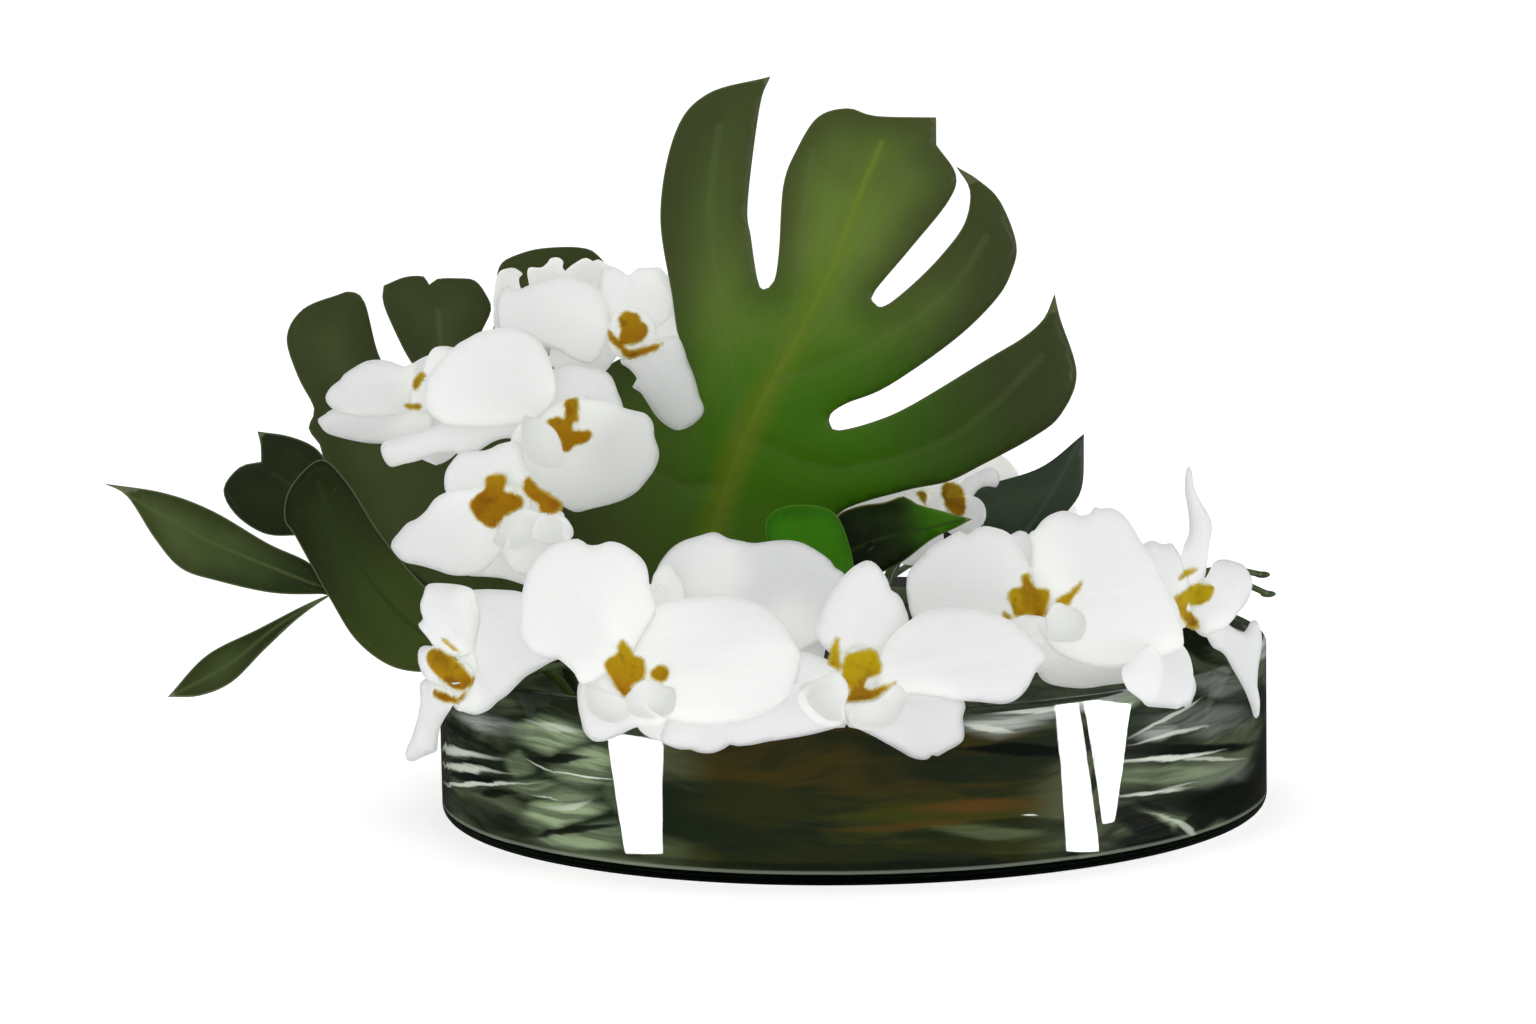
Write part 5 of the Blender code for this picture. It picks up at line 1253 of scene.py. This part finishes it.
# each throat seen square on, in mm right and up from the hub: middle and radius of its white ring, how
# orange (1) or mustard (0) the gold is, outlines of the white folds before the gold and of the gold areas
plainLip = dict(ring=(0, 1, 8), warm=0.5, folds=[[(-5, -6), (0, -4.5), (5, -6), (5, -12), (-5, -12)]],
                gold=[[(-6, 5), (-2, 8), (3, 7), (6, 3), (5, -4), (-5, -4), (-7, 1)]])
lips = {
    "a": dict(ring=(3, 4, 9), warm=0.95, folds=[],
              gold=[[(-2, 9.5), (2, 11.5), (5, 10), (6, 7.5), (8.5, 5), (7.5, 1.5), (2.5, -1),
                     (-3.5, -1), (-2, 4)],
                    [(-6.5, 5), (-5.6, 0.5), (-2.6, -3.5), (0, -6), (5.5, -5.2), (10.5, -3.6),
                     (14.5, -0.8), (9.5, -1.4), (4.5, -2.6), (0.5, -3), (-1.8, 0)]]),
    "b": dict(ring=(1, 1, 6.5), warm=0.2, folds=[],
              gold=[[(-0.5, 8.6), (1.3, 8.2), (0.8, 3), (-0.6, 1.8), (-1.9, 4)],
                    [(-4.5, -3), (1.5, -2.8), (1.5, -4.6), (-3, -4.6)]]),
    "c": dict(ring=(1.5, 0.5, 10.5), warm=0.85,
              folds=[[(-16, 3.4), (-11.5, 3.1), (-7.5, 1.3), (-5, -0.4), (-3.4, -2.8), (-1.8, -8),
                      (-2, -13), (-9, -14), (-16, -8)]],
              gold=[[(-1, 9.5), (3.5, 9.5), (4, 2), (2, 0.5), (4.5, -1), (8, -1), (8.5, -4), (2, -7),
                     (0, -9), (-2, -8), (-3, -4), (-7.5, 2), (-4.5, 3.5), (-1, 3.5)]]),
    "d": dict(ring=(0, 0.5, 10.5), warm=1.1,
              folds=[[(0, -9.6), (1.9, -6.2), (5.6, -3.7), (9.8, -3.2), (13.5, -4.9), (14, -12),
                      (6, -17), (-1, -15)],
                     [(13.5, -5.2), (17.2, -4.2), (22.4, -5.7), (25.6, -9.3), (25, -13), (18, -15),
                      (12, -13)]],
              gold=[[(-6, 7.5), (-4, 9), (0.5, 9), (2, 6.5), (1.5, 3.5), (4, 3), (7.5, 1), (8, -1.5),
                     (5.5, -3.5), (1.5, -6), (-0.5, -9.5), (-4, -8.5), (-8, -4.5), (-9.5, -1),
                     (-7.5, 1.5), (-5.5, 4.5)],
                    [(8, 7.5), (10, 8), (14, 4.5), (19, 1.5), (22, -1), (20, -4), (15, -4.2), (13, -1),
                     (10, 1), (8, 3)]]),
    "e": dict(ring=(-1, 4, 9), warm=0.6,
              folds=[[(-8, -1), (-4, -2.2), (2, -1.5), (1, -3.6), (-4, -4), (-8, -3)]],
              gold=[[(-14, 7.5), (-9, 9), (-3, 6.5), (3, 3.5), (6.5, 0), (5, -3), (0, -4.5), (-5, -2.5),
                     (-10, 1), (-13.5, 4)],
                    [(-6, 13), (-3.5, 12.5), (1, 9), (-2, 9.5)],
                    [(-10, -5), (-1, -7), (4, -4.5), (0, -9), (-8, -8)]]),
    "f": dict(ring=(-2, 1, 11.5), warm=0.6,
              folds=[[(-19, -5), (-14, -5), (-9, -7), (-4.1, -9.2), (-3, -14), (-8, -17), (-16, -13)],
                     [(-4.2, -9.3), (-1.3, -5.2), (2.4, -2.6), (6.4, -2.9), (9.3, -4.3), (13, -6),
                      (12, -13), (5, -16), (-2, -14)]],
              gold=[[(-6, 9), (-4, 10.5), (-0.5, 5.5), (2.5, 4), (3, -1.5), (0.5, -3), (-1, -4),
                     (-4, -8.5), (-6.5, -6), (-9.5, -0.5), (-11, 2.5), (-9, 4.5), (-6.5, 6.5)],
                    [(5, 0.5), (8.5, 2.5), (11.5, 0.5), (10, -3), (5.5, -2)]]),
    "g": dict(ring=(3.5, 2, 11), warm=0.25,
              folds=[[(-8, 2.7), (-5.7, 3.6), (-2.9, 1.7), (-1.4, -1.1), (-1.4, -5.1), (-2.6, -7.9),
                      (-2.9, -12.7), (-9, -12), (-15, -6), (-14, -1)],
                     [(-2.5, -8.2), (3, -7.4), (8, -6.8), (11.5, -4.4), (15, -1.5), (18, -6), (13, -15),
                      (2, -16)]],
              gold=[[(-1.5, 8.5), (1.5, 9.5), (8, 10), (10, 5), (9, 2), (5.5, 0.5), (5, -2.5), (9, -2.5),
                     (15, -0.5), (10.5, -4), (7.5, -6.5), (-1.5, -6.5), (-1, -2.5), (-3, 1.5),
                     (-2.5, 5.5)],
                    [(-5, 13.5), (-3.5, 14.5), (-3.5, 8.5), (-3.5, 4), (-7, 5.5), (-7, 7.5)]]),
    "h": dict(ring=(-4, 2, 11), warm=0.35,
              folds=[[(-16, -5.6), (-10.7, -4), (-6.8, -3.6), (-1.5, -5), (-1, -12), (-8, -15), (-15, -12)],
                     [(-1.3, -5), (0.2, -1.8), (1.6, 0.1), (4, 0.5), (7.5, -0.9), (12, -5), (10, -12),
                      (0, -12)]],
              gold=[[(-9, 10), (-6.5, 10.5), (-5, 6), (-0.5, 5), (0, 2.5), (-2, -4.5), (-7.5, -3.5),
                     (-12, -4), (-12.5, -1), (-14, 2), (-13, 5), (-9.5, 6.5)],
                    [(1.5, 1), (6.5, 4), (11, 7.5), (10, 4.5), (7.5, 1.5), (7, -0.5), (2.5, 0.5)],
                    [(-16, -1.5), (-12.5, -4), (-15, -5)]]),
    "i": dict(ring=(2, 2.5, 9), warm=0.1, folds=[],
              gold=[[(-7, 5.5), (0.5, 7.5), (8.5, 8.5), (13, 7), (11.5, 3.5), (7.5, 1), (1.5, 1.5),
                     (5.5, -2.5), (6.5, -7), (0.5, -4), (-5, 0.5), (-8.5, 3.5)],
                    [(-4.5, 11.5), (1.5, 14), (7.5, 14), (6, 12.5), (-0.5, 11.5)]]),
    "j": dict(ring=(2, 0, 8), warm=0.5, folds=[],
              gold=[[(2, 5), (10, 5), (9, -8), (4, -6)], [(-8, 3), (-4, 3), (-5, -2)]]),
}
throat = {"warmSlope": 0.05, "step": 0.8, "thick": 0.8, "empty": -1.5, "rounds": 10,
          "lookFrom": 20.0, "lookDeep": 26.0,
          "backDeep": -3.0, "backHigh": 2.0, "padHigh": 0.7, "padEdge": 0.0, "padSpread": 1.0,
          "foldHigh": 1.1, "foldFar": -0.1, "foldSide": 4.0, "foldCrisp": 0.45}


def halfWidth(u, shape):
    grown = np.sin(pi / 2 * np.clip(u / shape["widest"], 0, 1)) ** 1.15
    rise = shape["claw"] + (1 - shape["claw"]) * grown
    t = np.clip((u - shape["widest"]) / (1 - shape["widest"]), 0, 1)
    return np.where(u < shape["widest"], rise, (1 - t ** 2) ** shape["blunt"])


def tepalAxes(normal, offset, twist):
    # length of a tepal, then the ways along it, across it and out of its face
    length = np.linalg.norm(offset)
    along = np.array(offset, float) / length
    side = np.cross(normal, along)
    side /= np.linalg.norm(side)
    face = np.cross(along, side)
    side = side * cos(radians(twist)) + face * sin(radians(twist))
    return length, along, side, np.cross(along, side)


def addTepal(skin, hub, normal, offset, width, shape, twist, seed):
    tip = hub + np.array(offset, float)
    length, along, side, face = tepalAxes(normal, tip - hub, twist)
    start = hub + normal * shape["layer"] + along * petal["start"]
    u = (1 - (1 - np.linspace(0, 1, petal["rows"])) ** 1.5)[:, None]
    v = np.sin(np.linspace(-pi / 2, pi / 2, petal["cols"]))[None, :]
    share = np.maximum(halfWidth(u, shape), petal["least"] / width)
    rim = v ** 2
    phase = np.random.default_rng(seed).uniform(0, 2 * pi, 3)
    lift = 4 * petal["bow"] * length * u * (1 - u) + petal["cup"] * rim * share
    ruffle = np.sin(petal["ruffleWaves"] * u + phase[0] + petal["ruffleTurn"] * np.sign(v))
    lift = lift + petal["ruffle"] * rim ** 2 * ruffle * u * (width / petal["ruffleWidth"])
    crease = petal["crease"] * np.exp(-(v / petal["creaseShare"]) ** 2)
    lift = lift - crease * (1 - u) * np.clip(u * 6, 0, 1)
    lift = lift + petal["ripple"] * np.sin(7 * u + 4 * v + phase[1]) * u
    grid = start + (tip - start) * u[..., None] + side * (width / 2 * share * v)[..., None]
    grid = grid + face * lift[..., None]
    thick = petal["rimThick"] + (petal["thick"] - petal["rimThick"]) * (1 - np.maximum(rim ** 3, u ** 8))
    addSheet(skin, grid, thick, face, along=u + 0 * v, across=v * share, seed=float(seed % 7))


def addCutTepal(skin, hub, normal, offset, width, shape, twist, seed, edge, seenAt):
    # same surface as a plain tepal, but its rim follows a line that was read from the front
    length, along, side, face = tepalAxes(normal, offset, twist)
    start = hub + normal * shape["layer"]
    eye = np.array(studio["camera"]) / mm
    rays = np.array([(x, seenAt, z) for x, z in edge], float) - eye
    hits = eye + rays * (((start - eye) @ face) / (rays @ face))[:, None] - start
    ring = closedCurve(np.stack([hits @ along, hits @ side], -1), petal["edgeStep"])
    verts, faces = fillOutline(ring, petal["cutStep"])
    u, v = verts[:, 0], verts[:, 1]
    rim = ringDistance(verts, ring)
    part, across = np.clip(u / length, -0.2, 1.2), np.clip(2 * v / width, -1.2, 1.2)
    phase = np.random.default_rng(seed).uniform(0, 2 * pi, 3)
    lift = 4 * petal["bow"] * length * part * (1 - part)
    lift = lift + petal["cup"] * across ** 2 * np.clip(part * 2, 0, 1)
    longU, longV = petal["edgeLong"]
    wave = petal["edgeWave"] * np.exp(-rim / petal["edgeWide"])
    lift += wave * np.sin(u / longU + phase[0]) * np.sin(v / longV + phase[1])
    lift -= petal["edgeDrop"] * np.exp(-rim / petal["edgeRound"])
    crease = petal["crease"] * np.exp(-(v / petal["creaseWide"]) ** 2)
    lift -= crease * np.clip(1 - part, 0, 1) * np.clip(part * 5, 0, 1)
    longU, longV = petal["rippleLong"]
    lift += petal["ripple"] * np.sin(u / longU + phase[2]) * np.sin(v / longV + phase[1])
    middle = start + u[:, None] * along + v[:, None] * side + lift[:, None] * face
    thick = petal["rimThick"] + (petal["thick"] - petal["rimThick"]) * np.clip(rim / petal["rimWide"], 0, 1)
    if np.cross(along, side) @ face < 0:
        faces = [f[::-1] for f in faces]
    half = face * thick[:, None] / 2
    points, shell = closedShell(middle + half, middle - half, faces)
    skin.add(points, shell, along=twice(np.clip(part, 0, 1)), across=twice(across), seed=float(seed % 7))


def bloomTips(bloom, axes):
    if "tips" in bloom:
        return bloom["tips"]
    tips, share = {}, bloom.get("share", 1.0)
    for part, (turn, length, back, width) in evenTips.items():
        a = radians(turn)
        tips[part] = (*(np.array((length * sin(a), length * cos(a), -back)) @ axes * share), width * share)
    return tips


def petalHeights(under, hub, axes, spots):
    # how far the petals stand out from the hub at each spot seen square on
    heights = np.full(len(spots), throat["empty"])
    for k, (x, y) in enumerate(spots):
        start = hub + x * axes[0] + y * axes[1] + throat["lookFrom"] * axes[2]
        hit = under.ray_cast(Vector(start), Vector(-axes[2]), throat["lookDeep"])[0]
        if hit is not None:
            heights[k] = (np.array(hit) - hub) @ axes[2]
    return heights


def evened(heights, faces):
    # same heights without their steps, and never lower than they were
    pairs = np.array([(f[i], f[i - 1]) for f in faces for i in range(len(f))])
    pairs = np.concatenate([pairs, pairs[:, ::-1]])
    count = np.maximum(np.bincount(pairs[:, 0], minlength=len(heights)), 1)
    out = heights
    for _ in range(throat["rounds"]):
        mean = np.bincount(pairs[:, 0], weights=out[pairs[:, 1]], minlength=len(heights)) / count
        out = np.maximum(0.5 * (out + mean), heights)
    return out


def addPad(skin, under, hub, axes, ring, spread, lift, **values):
    # sheet with the given outline, spread a little, that lies on the petals; lift gives its height above them
    outline = closedCurve(ring, throat["step"])
    ahead = np.roll(outline, -1, axis=0) - np.roll(outline, 1, axis=0)
    outward = np.stack([ahead[:, 1], -ahead[:, 0]], -1) / np.linalg.norm(ahead, axis=1)[:, None]
    outline = outline + spread * outward
    verts, faces = fillOutline(outline, throat["step"])
    edge = ringDistance(verts, outline)
    out = evened(petalHeights(under, hub, axes, verts), faces) + lift(verts, edge)
    front = hub + verts[:, :1] * axes[0] + verts[:, 1:] * axes[1] + out[:, None] * axes[2]
    points, shell = closedShell(front, front - axes[2] * throat["thick"], faces)
    values = {name: twice(value(verts)) if callable(value) else value for name, value in values.items()}
    skin.add(points, shell, edge=twice(edge), **values)


def padLift(verts, edge):
    rise = 1 - np.exp(-edge / 1.0)
    return throat["padEdge"] + (throat["padHigh"] - throat["padEdge"]) * rise


def foldLift(middle, verts, edge):
    # stands up towards the gold, sinks away into the petals behind it and at its sides
    away = np.linalg.norm(verts - middle, axis=1)
    t = (away - away.min()) / (away.max() - away.min())
    front = np.exp(-t / throat["foldCrisp"])
    sides = 1 - np.exp(-edge / throat["foldSide"])
    return throat["foldHigh"] * (1 - t) * (front + (1 - front) * sides) + throat["foldFar"] * (1 - front)


def addPetals(skin, key, number, bloom, hub, axes):
    cut = cutEdges.get(key, {})
    for k, (part, spec) in enumerate(bloomTips(bloom, axes).items()):
        shape = petal["broad"] if part in ("left", "right") else petal["narrow"]
        twist = spec[4] if len(spec) > 4 else 0.0
        seed = number * 10 + k
        if part in cut:
            addCutTepal(skin, hub, axes[2], spec[:3], spec[3], shape, twist, seed, cut[part], cut["seenAt"])
        else:
            addTepal(skin, hub, axes[2], spec[:3], spec[3], shape, twist, seed)


def makeBloom(key, number, bloom):
    axes = facing(*bloom["face"])
    hub = np.array(bloom["hub"], float)
    lip = lips.get(key, plainLip)
    ringX, ringY, ringRadius = lip["ring"]

    def local(*p):
        return hub + np.array(p, float) @ axes

    def overFold(verts, edge):
        return foldLift((ringX, ringY), verts, edge)

    def warmth(verts):
        # the gold grows more orange downwards
        return np.clip(lip["warm"] - throat["warmSlope"] * (verts[:, 1] - ringY), 0, 1)

    skin = Skin("along", "across", "seed")
    addPetals(skin, key, number, bloom, hub, axes)
    addBall(skin, local(0, 0, petal["hubBack"]), petal["hubRadii"], axes, along=petal["hubAlong"])
    addBall(skin, local(ringX, ringY, throat["backDeep"]), (ringRadius, ringRadius, throat["backHigh"]), axes,
            along=petal["hubAlong"])
    under = BVHTree.FromPolygons(skin.points, skin.faces)
    neck = [local(0, 0, -1), local(0, 0, -petal["neckLength"])]
    addTube(skin, neck, petal["neckRadius"], petal["neckSides"])
    for ring in lip["folds"]:
        addPad(skin, under, hub, axes, ring, 0.0, overFold, along=petal["foldAlong"])
    makePiece("petals_" + key, skin, petalMaterial, ["bloom_%s_petals" % key])
    skin = Skin("edge", "warm")
    for ring in lip["gold"]:
        addPad(skin, under, hub, axes, ring, throat["padSpread"], padLift, warm=warmth)
    makePiece("lip_" + key, skin, lipMaterial, ["bloom_%s_lip" % key])


def makePetalMaterial():
    mat, tree, shader = newMaterial("white petal", petal["rough"])
    along, across = painted(tree, "along"), painted(tree, "across")
    seeded = doMath(tree, "ADD", along, painted(tree, "seed"))
    veins = placeGroup(tree, streakGroup, Along=seeded, Across=across, Stretch=1.5, Fineness=26.0, Waver=0.1,
                       Low=0.4, High=0.7)[0]
    patch = mottle(tree, 45.0, 0.3, 0.7)
    # painted shade: the petals turn grey near the claws, where the throat lies hollow; the mottle and streaks
    # below are the petal's own tone
    nearClaw = remap(tree, along, 0.02, 0.30, 1.0, 0.0)
    colour = mixColour(tree, doMath(tree, "MULTIPLY", nearClaw, 0.5), petal["white"], petal["shade"])
    colour = mixColour(tree, doMath(tree, "MULTIPLY", patch, 0.12), colour, petal["shade"])
    colour = mixColour(tree, doMath(tree, "MULTIPLY", veins, 0.10), colour, petal["shade"])
    tree.links.new(colour, shader.inputs["Base Color"])
    shader.inputs["Subsurface Weight"].default_value = petal["through"]
    shader.inputs["Subsurface Radius"].default_value = petal["throughRadius"]
    shader.inputs["Subsurface Scale"].default_value = petal["throughDeep"]
    shader.inputs["Specular IOR Level"].default_value = 0.3
    # painted light: the petals glow faintly, which lifts their shade
    tree.links.new(colour, shader.inputs["Emission Color"])    # faint, for the light that thin petals hand on
    shader.inputs["Emission Strength"].default_value = petal["fill"]
    addBump(tree, shader, veins, 0.15, 0.5)
    return mat


lipLook = {"orange": (0.36, 0.165, 0.001), "mustard": (0.46, 0.325, 0.003), "deep": (0.22, 0.080, 0.001),
           "brown": (0.10, 0.042, 0.002), "fringe": (0.62, 0.50, 0.10), "rough": 0.6, "fill": 0.03}


def makeLipMaterial():
    mat, tree, shader = newMaterial("golden lip", lipLook["rough"])
    space = objectSpace(tree)
    gold = mixColour(tree, painted(tree, "warm"), lipLook["mustard"], lipLook["orange"])
    cloud = mottle(tree, 95.0, 0.42, 0.66)
    gold = mixColour(tree, doMath(tree, "MULTIPLY", cloud, 0.65), gold, lipLook["deep"])
    blot = mottle(tree, 260.0, 0.55, 0.72)
    gold = mixColour(tree, doMath(tree, "MULTIPLY", blot, 0.40), gold, lipLook["brown"])
    fray = doMath(tree, "MULTIPLY", doMath(tree, "SUBTRACT", noise(tree, space, 330.0, 3.0), 0.5), 2.0)
    inward = doMath(tree, "ADD", painted(tree, "edge"), fray)
    colour = mixColour(tree, remap(tree, inward, 0.5, 2.0), lipLook["fringe"], gold)
    tree.links.new(remap(tree, inward, 0.2, 1.7), shader.inputs["Alpha"])
    tree.links.new(colour, shader.inputs["Base Color"])
    shader.inputs["Specular IOR Level"].default_value = 0.08
    # painted light: the gold glows faintly
    tree.links.new(colour, shader.inputs["Emission Color"])
    shader.inputs["Emission Strength"].default_value = lipLook["fill"]
    addBump(tree, shader, noise(tree, space, 900.0, 2.0), 0.15, 0.5)
    return mat


petalMaterial = makePetalMaterial()
lipMaterial = makeLipMaterial()
for number, (key, bloom) in enumerate(blooms.items()):
    makeBloom(key, number, bloom)
print("blooms done")

# flower stems
sprays = {
    "stem_upper_left": dict(
        main=[(-72, 50, 22), (-72, 50, 50), (-85, 50, 100), (-98, 47, 138), (-104, 42, 160)],
        to=dict(a=[(-103, 43, 157)], b=[(-101, 45, 149)], c=[(-99, 46, 143)],
                d=[(-86, 49.5, 106), (-114, 42, 106)], k=[(-103.5, 42.5, 158)]), buds=[]),
    "stem_front_left": dict(
        main=[(-66, -62, 22), (-66, -62, 50), (-74, -84, 66), (-84, -96, 70)],
        to=dict(e=[(-84, -95, 70)], f=[(-76, -88, 67)], l=[(-68, -70, 58)]), buds=[]),
    "stem_right": dict(
        main=[(46, -58, 22), (46, -58, 50), (58, -76, 70), (88, -64, 80), (120, -42, 88)],
        to=dict(g=[(50, -66, 60)], h=[(58, -75, 70)], i=[(86, -65, 79)]),
        buds=[(146, -34, 86), (148, -34, 79)]),
    "stem_back": dict(
        main=[(10, 66, 22), (10, 66, 50), (14, 78, 66), (20, 84, 78)],
        to=dict(j=[(19, 83, 76)], m=[(12, 72, 60)], n=[(12, 74, 62)], o=[(16, 80, 70), (30, 101, 74)]),
        buds=[]),
}
stem = {"radius": 2.0, "sides": 16, "stalkletRadius": 1.1, "stalkletSides": 12, "flare": 1.15, "lead": 8.0,
        "gap": 0.3, "bud": (2.8, 1.2, 1.2), "budArch": 2.0, "budSides": 10, "step": 3.0, "budStep": 2.0,
        # swelling at each node: share of the radius, points from one to the next, half width in points
        "knot": 0.22, "knotGap": 9, "knotWide": 1.2, "rough": 0.45,
        "green": (0.055, 0.095, 0.018), "pale": (0.11, 0.17, 0.05), "dark": (0.020, 0.035, 0.010)}


def makeStemMaterial():
    mat, tree, shader = newMaterial("green stem", stem["rough"])
    along = doMath(tree, "MULTIPLY", painted(tree, "along"), 0.05)
    streaks = placeGroup(tree, streakGroup, Along=along, Across=0.3, Stretch=6.0, Fineness=3.0, Waver=0.8,
                         Low=0.35, High=0.7)[0]
    patch = mottle(tree, 140.0, 0.35, 0.65)
    colour = mixColour(tree, streaks, stem["green"], stem["dark"])
    colour = mixColour(tree, doMath(tree, "MULTIPLY", patch, 0.4), colour, stem["pale"])
    tree.links.new(colour, shader.inputs["Base Color"])
    addBump(tree, shader, patch, 0.3, 0.5)
    return mat


def makeSpray(name, spray):
    skin = Skin("along")
    main = smoothPath(spray["main"], stem["step"])
    offKnot = np.arange(len(main)) % stem["knotGap"] - stem["knotGap"] // 2
    knots = 1 + stem["knot"] * np.exp(-(offKnot / stem["knotWide"]) ** 2)
    addTube(skin, main, stem["radius"] * knots, stem["sides"])
    for key, route in spray["to"].items():
        normal = facing(*blooms[key]["face"])[2]
        end = np.array(blooms[key]["hub"], float) - normal * (petal["neckLength"] + stem["gap"])
        path = smoothPath(route + [end - normal * stem["lead"], end], stem["step"])
        radii = stem["stalkletRadius"] * np.linspace(stem["flare"], 1.0, len(path))
        addTube(skin, path, radii, stem["stalkletSides"])
    for tip in spray["buds"]:
        end, start = np.array(tip, float), np.array(spray["main"][-1], float)
        path = smoothPath([start, (start + end) / 2 + (0, 0, stem["budArch"]), end], stem["budStep"])
        addTube(skin, path, stem["stalkletRadius"], stem["budSides"])
        addBall(skin, end, stem["bud"], np.eye(3))
    makePiece(name.replace("stem_", "spray_"), skin, stemMaterial, [name])


stemMaterial = makeStemMaterial()
for name, spray in sprays.items():
    makeSpray(name, spray)
print("stems done")

# floor, light and camera
def makeFloor():
    mesh = bpy.data.meshes.new("floor")
    size = studio["floorSize"]
    corners = [(-size, -size, 0), (size, -size, 0), (size, size, 0), (-size, size, 0)]
    mesh.from_pydata(corners, [], [(0, 1, 2, 3)])
    mat, _, shader = newMaterial("pale floor", 0.9, studio["floorTone"])
    shader.inputs["Emission Color"].default_value = (1.0, 1.0, 1.0, 1.0)
    shader.inputs["Emission Strength"].default_value = studio["floorGlow"]
    mesh.materials.append(mat)
    floor = bpy.data.objects.new("floor", mesh)
    scene.collection.objects.link(floor)
    floor.location.z = -studio["floorDrop"]
    # the glass shows a dark room, not the white floor
    floor.visible_glossy = floor.visible_transmission = False


def makeWindow(number, turn, reach, heights, glow):
    # card that the glass wall mirrors towards the camera; most of it lies below floor height
    a = radians(turn)
    out = np.array((sin(a), -cos(a), 0.0)) * studio["windowAway"]
    side = np.array((cos(a), sin(a), 0.0))
    topLeft, topRight, lowLeft, lowRight = reach
    top, low = heights
    corners = [out + side * s + (0, 0, z) for s, z in
               ((lowLeft, low), (lowRight, low), (topRight, top), (topLeft, top))]
    mesh = bpy.data.meshes.new("window%d" % number)
    mesh.from_pydata([tuple(c) for c in corners], [], [(0, 1, 2, 3)])
    mat = bpy.data.materials.new("window light")
    mat.use_nodes = True
    mat.node_tree.nodes.clear()
    glowNode = mat.node_tree.nodes.new("ShaderNodeEmission")
    glowNode.inputs["Strength"].default_value = glow
    end = mat.node_tree.nodes.new("ShaderNodeOutputMaterial")
    mat.node_tree.links.new(glowNode.outputs[0], end.inputs[0])
    mesh.materials.append(mat)
    card = bpy.data.objects.new("window%d" % number, mesh)
    scene.collection.objects.link(card)
    card.visible_camera = card.visible_diffuse = card.visible_transmission = card.visible_shadow = False


def makeLight():
    world = bpy.data.worlds.new("studio")
    world.use_nodes = True
    tree = world.node_tree
    back = tree.nodes["Background"]
    back.inputs["Color"].default_value = (1.0, 1.0, 1.0, 1.0)
    path = tree.nodes.new("ShaderNodeLightPath")
    strength = doMath(tree, "MULTIPLY_ADD", path.outputs["Is Glossy Ray"], studio["gloss"] - studio["world"],
                      studio["world"])
    tree.links.new(strength, back.inputs["Strength"])
    scene.world = world
    for number, (place, size, watts) in enumerate(studio["boxes"]):
        lamp = bpy.data.lights.new("softBox%d" % number, "AREA")
        lamp.shape, lamp.size, lamp.energy = "SQUARE", size, watts
        obj = bpy.data.objects.new("softBox%d" % number, lamp)
        obj.location = place
        aim = Vector(studio["boxAim"]) - Vector(place)
        obj.rotation_euler = aim.to_track_quat("-Z", "Y").to_euler()
        obj.visible_camera = False
        scene.collection.objects.link(obj)


def makeCamera():
    pitch, roll = radians(studio["pitch"]), radians(studio["roll"])
    right = Vector((1, 0, 0))
    forward, up = Vector((0, cos(pitch), -sin(pitch))), Vector((0, sin(pitch), cos(pitch)))
    rolledRight = right * cos(roll) - up * sin(roll)
    rolledUp = right * sin(roll) + up * cos(roll)
    data = bpy.data.cameras.new("camera")
    data.lens, data.sensor_width, data.sensor_fit = studio["lens"], studio["sensor"], "HORIZONTAL"
    data.clip_start, data.clip_end = studio["clip"]
    camera = bpy.data.objects.new("camera", data)
    turn = Matrix((rolledRight, rolledUp, -forward)).transposed()
    camera.matrix_world = Matrix.Translation(studio["camera"]) @ turn.to_4x4()
    scene.collection.objects.link(camera)
    scene.camera = camera


makeFloor()
for number, window in enumerate(studio["windows"]):
    makeWindow(number, *window)
makeLight()
makeCamera()
scene.view_settings.view_transform = "Standard"
print("studio done")
